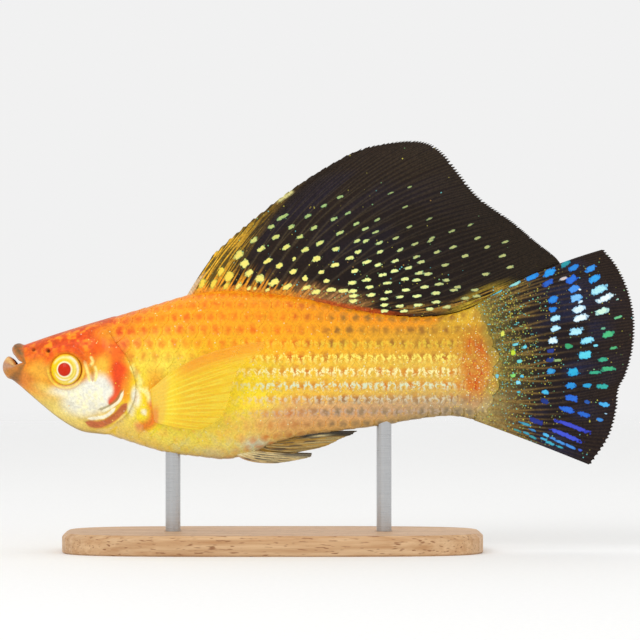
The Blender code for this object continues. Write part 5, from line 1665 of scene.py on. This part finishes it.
# %% Shape and colour of the anal fin
ANAL_RAYS = 7
ANAL_ROOT = (56.4, 50.9)
ANAL_TIPS = [(0, 71.0, -12.35), (1, 69.8, -13.15), (2, 68.0, -13.8), (3, 66.4, -14.6), (4, 64.9, -15.3),
             (5, 62.8, -15.9), (6, 60.0, -16.4)]


def anal_point(ray, t):
    """Middle of the anal fin, from its rearmost ray, the long one, to its foremost."""
    share = ray / (ANAL_RAYS - 1)
    root_s = between(ANAL_ROOT, share)
    root, tip = stacked(root_s, through(BELLY, root_s) + 0.15), ray_tips(ANAL_TIPS, ray)
    control = root + (tip - root) * 0.4 + stacked(0, 1.3 - 2.9 * share)
    flat = bend(root, control, tip, t[..., None]) + np.clip(-t, 0, 1)[..., None] * (0, 16)
    return stacked(flat[..., 0], 0, flat[..., 1])


def anal_look(ray, t, centre, branch, run):
    """Tan and cream rays with dark lines between them and a black upper edge towards the tip."""
    fine = flat_noise(ray * 4, run / 2.0, 17)
    black = smooth((1.9 - ray) / 0.9) * smooth((t - 0.25) / 0.15)
    return {"tint": paint(evenly("#B8923E", t), [
        ("#F0E0A0", 0.85 * branch * smooth((fine - 0.35) / 0.25)),
        ("#4A3818", 0.85 * (1 - branch) * smooth((fine - 0.3) / 0.2)),
        ("#17110A", 0.95 * black),
        ("#F2E6B0", 0.9 * hill(ray - 1.0, 0.3) * hill(t - 0.6, 0.12))])}


fin("anal_fin", anal_point, ANAL_RAYS, (110, 121), [(0.4, 0.18)], 0.15, 0.14, anal_look,
    PALE_MEMBRANE, (0.25, 0.2))

# %% [markdown]
# ## The stand
# A plain base of oiled beech carries two rods of brushed steel. Beech is pale pinkish brown with a fine
# straight grain and short dark flecks, its rays. The grain is noise drawn out twenty times along X; the
# flecks are a second noise, cut off high. The steel was brushed round as it turned, so its scratches
# circle the rod. Both finishes go on the solids themselves, whose shape is already right.

# %% Finish the stand
GRAIN_WIDTH, BAND_WIDTH, FLECK_WIDTH = MM / 0.9, MM / 0.14, MM / 2.94  # 1.1, 7 and 0.3 mm across the wood
GRAIN_DRAWN, FLECKS_DRAWN = 20.0, 7.0  # how much longer along X
SCRATCH, SCRATCHES_PRESSED = MM / 6.4, 40.0  # 0.16 mm along the rod; real scratches are too fine to show


def grained(tree, shader, colour, grain, rough, strength, depth):
    """Feeds a shader its colour, and a grain that sets its roughness, between two values, and its bump."""
    roughness = node(tree, "MapRange", {"Value": grain, "To Min": rough[0], "To Max": rough[1]})
    bump = node(tree, "Bump", {"Height": grain, "Strength": strength, "Distance": depth})
    feed(tree, shader, {"Base Color": colour, "Roughness": roughness, "Normal": bump})


def beech():
    """Oiled beech: a fine grain and broad bands drawn out along X, and short dark flecks."""
    made, tree, shader = new_finish("oiled_beech", Coat_Weight=0.1, Coat_Roughness=0.35)
    here = node(tree, "TexCoord").outputs["Object"]
    drawn, short = (node(tree, "Mapping", {"Vector": here, "Scale": (1.0, thin, thin)})
                    for thin in (GRAIN_DRAWN, FLECKS_DRAWN))
    grain = node(tree, "TexNoise", {"Vector": drawn, "Scale": 1 / GRAIN_WIDTH / GRAIN_DRAWN,
                                    "Detail": 5.0, "Roughness": 0.65})
    bands = node(tree, "TexNoise", {"Vector": drawn, "Scale": 1 / BAND_WIDTH / GRAIN_DRAWN, "Detail": 2.0})
    wood = node(tree, "ValToRGB", {"Fac": grain})
    colour_keys(wood, [(0.32, "#B98A5C"), (0.70, "#DDB98E")])
    flecks = node(tree, "TexNoise", {"Vector": short, "Scale": 1 / FLECK_WIDTH / FLECKS_DRAWN, "Detail": 1.0})
    fleck = node(tree, "MapRange", {"Value": flecks, "From Min": 0.62, "From Max": 0.70})
    dark = node(tree, "Mix", {"Factor": fleck, "A": wood, "B": (*linear("#94643C"), 1)}, data_type="RGBA")
    tone = node(tree, "MapRange", {"Value": bands, "From Min": 0.3, "From Max": 0.7,
                                   "To Min": 0.90, "To Max": 1.08})
    toned = node(tree, "VectorMath", {0: dark, 1: tone}, operation="MULTIPLY")
    grained(tree, shader, toned, grain, (0.62, 0.42), 0.35, 0.0001)
    return made


def brushed_steel():
    """Steel with fine scratches round the rod: a noise pressed forty times flatter along Z."""
    made, tree, shader = new_finish("brushed_stainless_steel", Metallic=1.0)
    here = node(tree, "TexCoord").outputs["Object"]
    rings = node(tree, "Mapping", {"Vector": here, "Scale": (1.0, 1.0, SCRATCHES_PRESSED)})
    brush = node(tree, "TexNoise", {"Vector": rings, "Scale": 1 / SCRATCH / SCRATCHES_PRESSED, "Detail": 4.0})
    grey = node(tree, "ValToRGB", {"Fac": brush})
    colour_keys(grey, [(0.0, "#A9AAAC"), (1.0, "#C9CACB")])
    grained(tree, shader, grey, brush, (0.20, 0.40), 0.3, 0.00003)
    return made


BEECH, STEEL = beech(), brushed_steel()
for name, finish in (("stand_base", BEECH), ("stand_rod_front", STEEL), ("stand_rod_rear", STEEL)):
    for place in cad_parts[name].material_slots:
        place.material = finish
    print(name, "is finished in", finish.name)

# %% [markdown]
# ## Floor and light
# The fish stands on a round sheet of white paper in a white room, so it looks alike from every side. Paper
# is dull: it takes soft shadows and no glints. It grows clear towards its edge, and no horizon shows. A big
# soft light hangs in front, above and to the left, a weaker one fills in from the right, and one is above.

# %% Paper floor
FLOOR_RADIUS = 1.2
PAPER_FIBRE = MM / 0.9  # 1.1 mm; real fibres are too fine to show


def paper_floor():
    """A flat round of paper under the stand, clear from 95% of its radius outwards."""
    turn = np.radians(np.arange(0, 360, 5))
    points = FLOOR_RADIUS * stacked(np.cos(turn), np.sin(turn), 0)
    mesh = bpy.data.meshes.new("paper_floor")
    mesh.from_pydata(points.tolist(), [], [list(range(len(turn)))])
    made = bpy.data.objects.new("paper_floor", mesh)
    bpy.context.scene.collection.objects.link(made)
    paper, tree, shader = new_finish("white_studio_paper", Roughness=0.9, Specular_IOR_Level=0.1)
    here = node(tree, "TexCoord").outputs["Object"]
    fibre = node(tree, "TexNoise", {"Vector": here, "Scale": 1 / PAPER_FIBRE, "Detail": 2.0})
    tone = node(tree, "ValToRGB", {"Fac": fibre})
    colour_keys(tone, [(0.0, "#F2F2F1"), (1.0, "#F9F9F8")])
    away = node(tree, "VectorMath", {0: here}, operation="LENGTH")
    clear = node(tree, "MapRange", {"Value": away, "From Min": 0.95 * FLOOR_RADIUS, "From Max": 0.25})
    feed(tree, shader, {"Base Color": tone, "Alpha": clear})
    mesh.materials.append(paper)


paper_floor()
print("paper floor is ready")

# %% Lights
def soft_light(name, place, aim, size, watts):
    """A square lamp for soft shadows, turned from its place towards what it lights."""
    data = bpy.data.lights.new(name, "AREA")
    data.energy, data.size = watts, size
    made = bpy.data.objects.new(name, data)
    made.location = place
    x, y, z = np.array(aim, float) - np.array(place, float)
    made.rotation_euler = (math.pi / 2 + math.atan2(z, math.hypot(x, y)), 0, math.atan2(-x, y))
    bpy.context.scene.collection.objects.link(made)


FISH_MIDDLE = (0, 0, 0.045)
ROOM_BRIGHTNESS = 0.88
soft_light("key", (-0.30, -0.50, 0.42), FISH_MIDDLE, 0.35, 1.0)
soft_light("fill", (0.55, -0.50, 0.20), FISH_MIDDLE, 0.5, 0.2)
soft_light("top", (0.05, 0.10, 0.70), FISH_MIDDLE, 0.5, 0.4)
world = bpy.data.worlds.new("studio")
world.use_nodes = True
tree = world.node_tree
feed(tree, tree.nodes["Background"], {"Color": (*linear("#FFFFFF"), 1), "Strength": ROOM_BRIGHTNESS})
bpy.context.scene.world = world
bpy.context.scene.view_settings.view_transform = "Standard"

# %% [markdown]
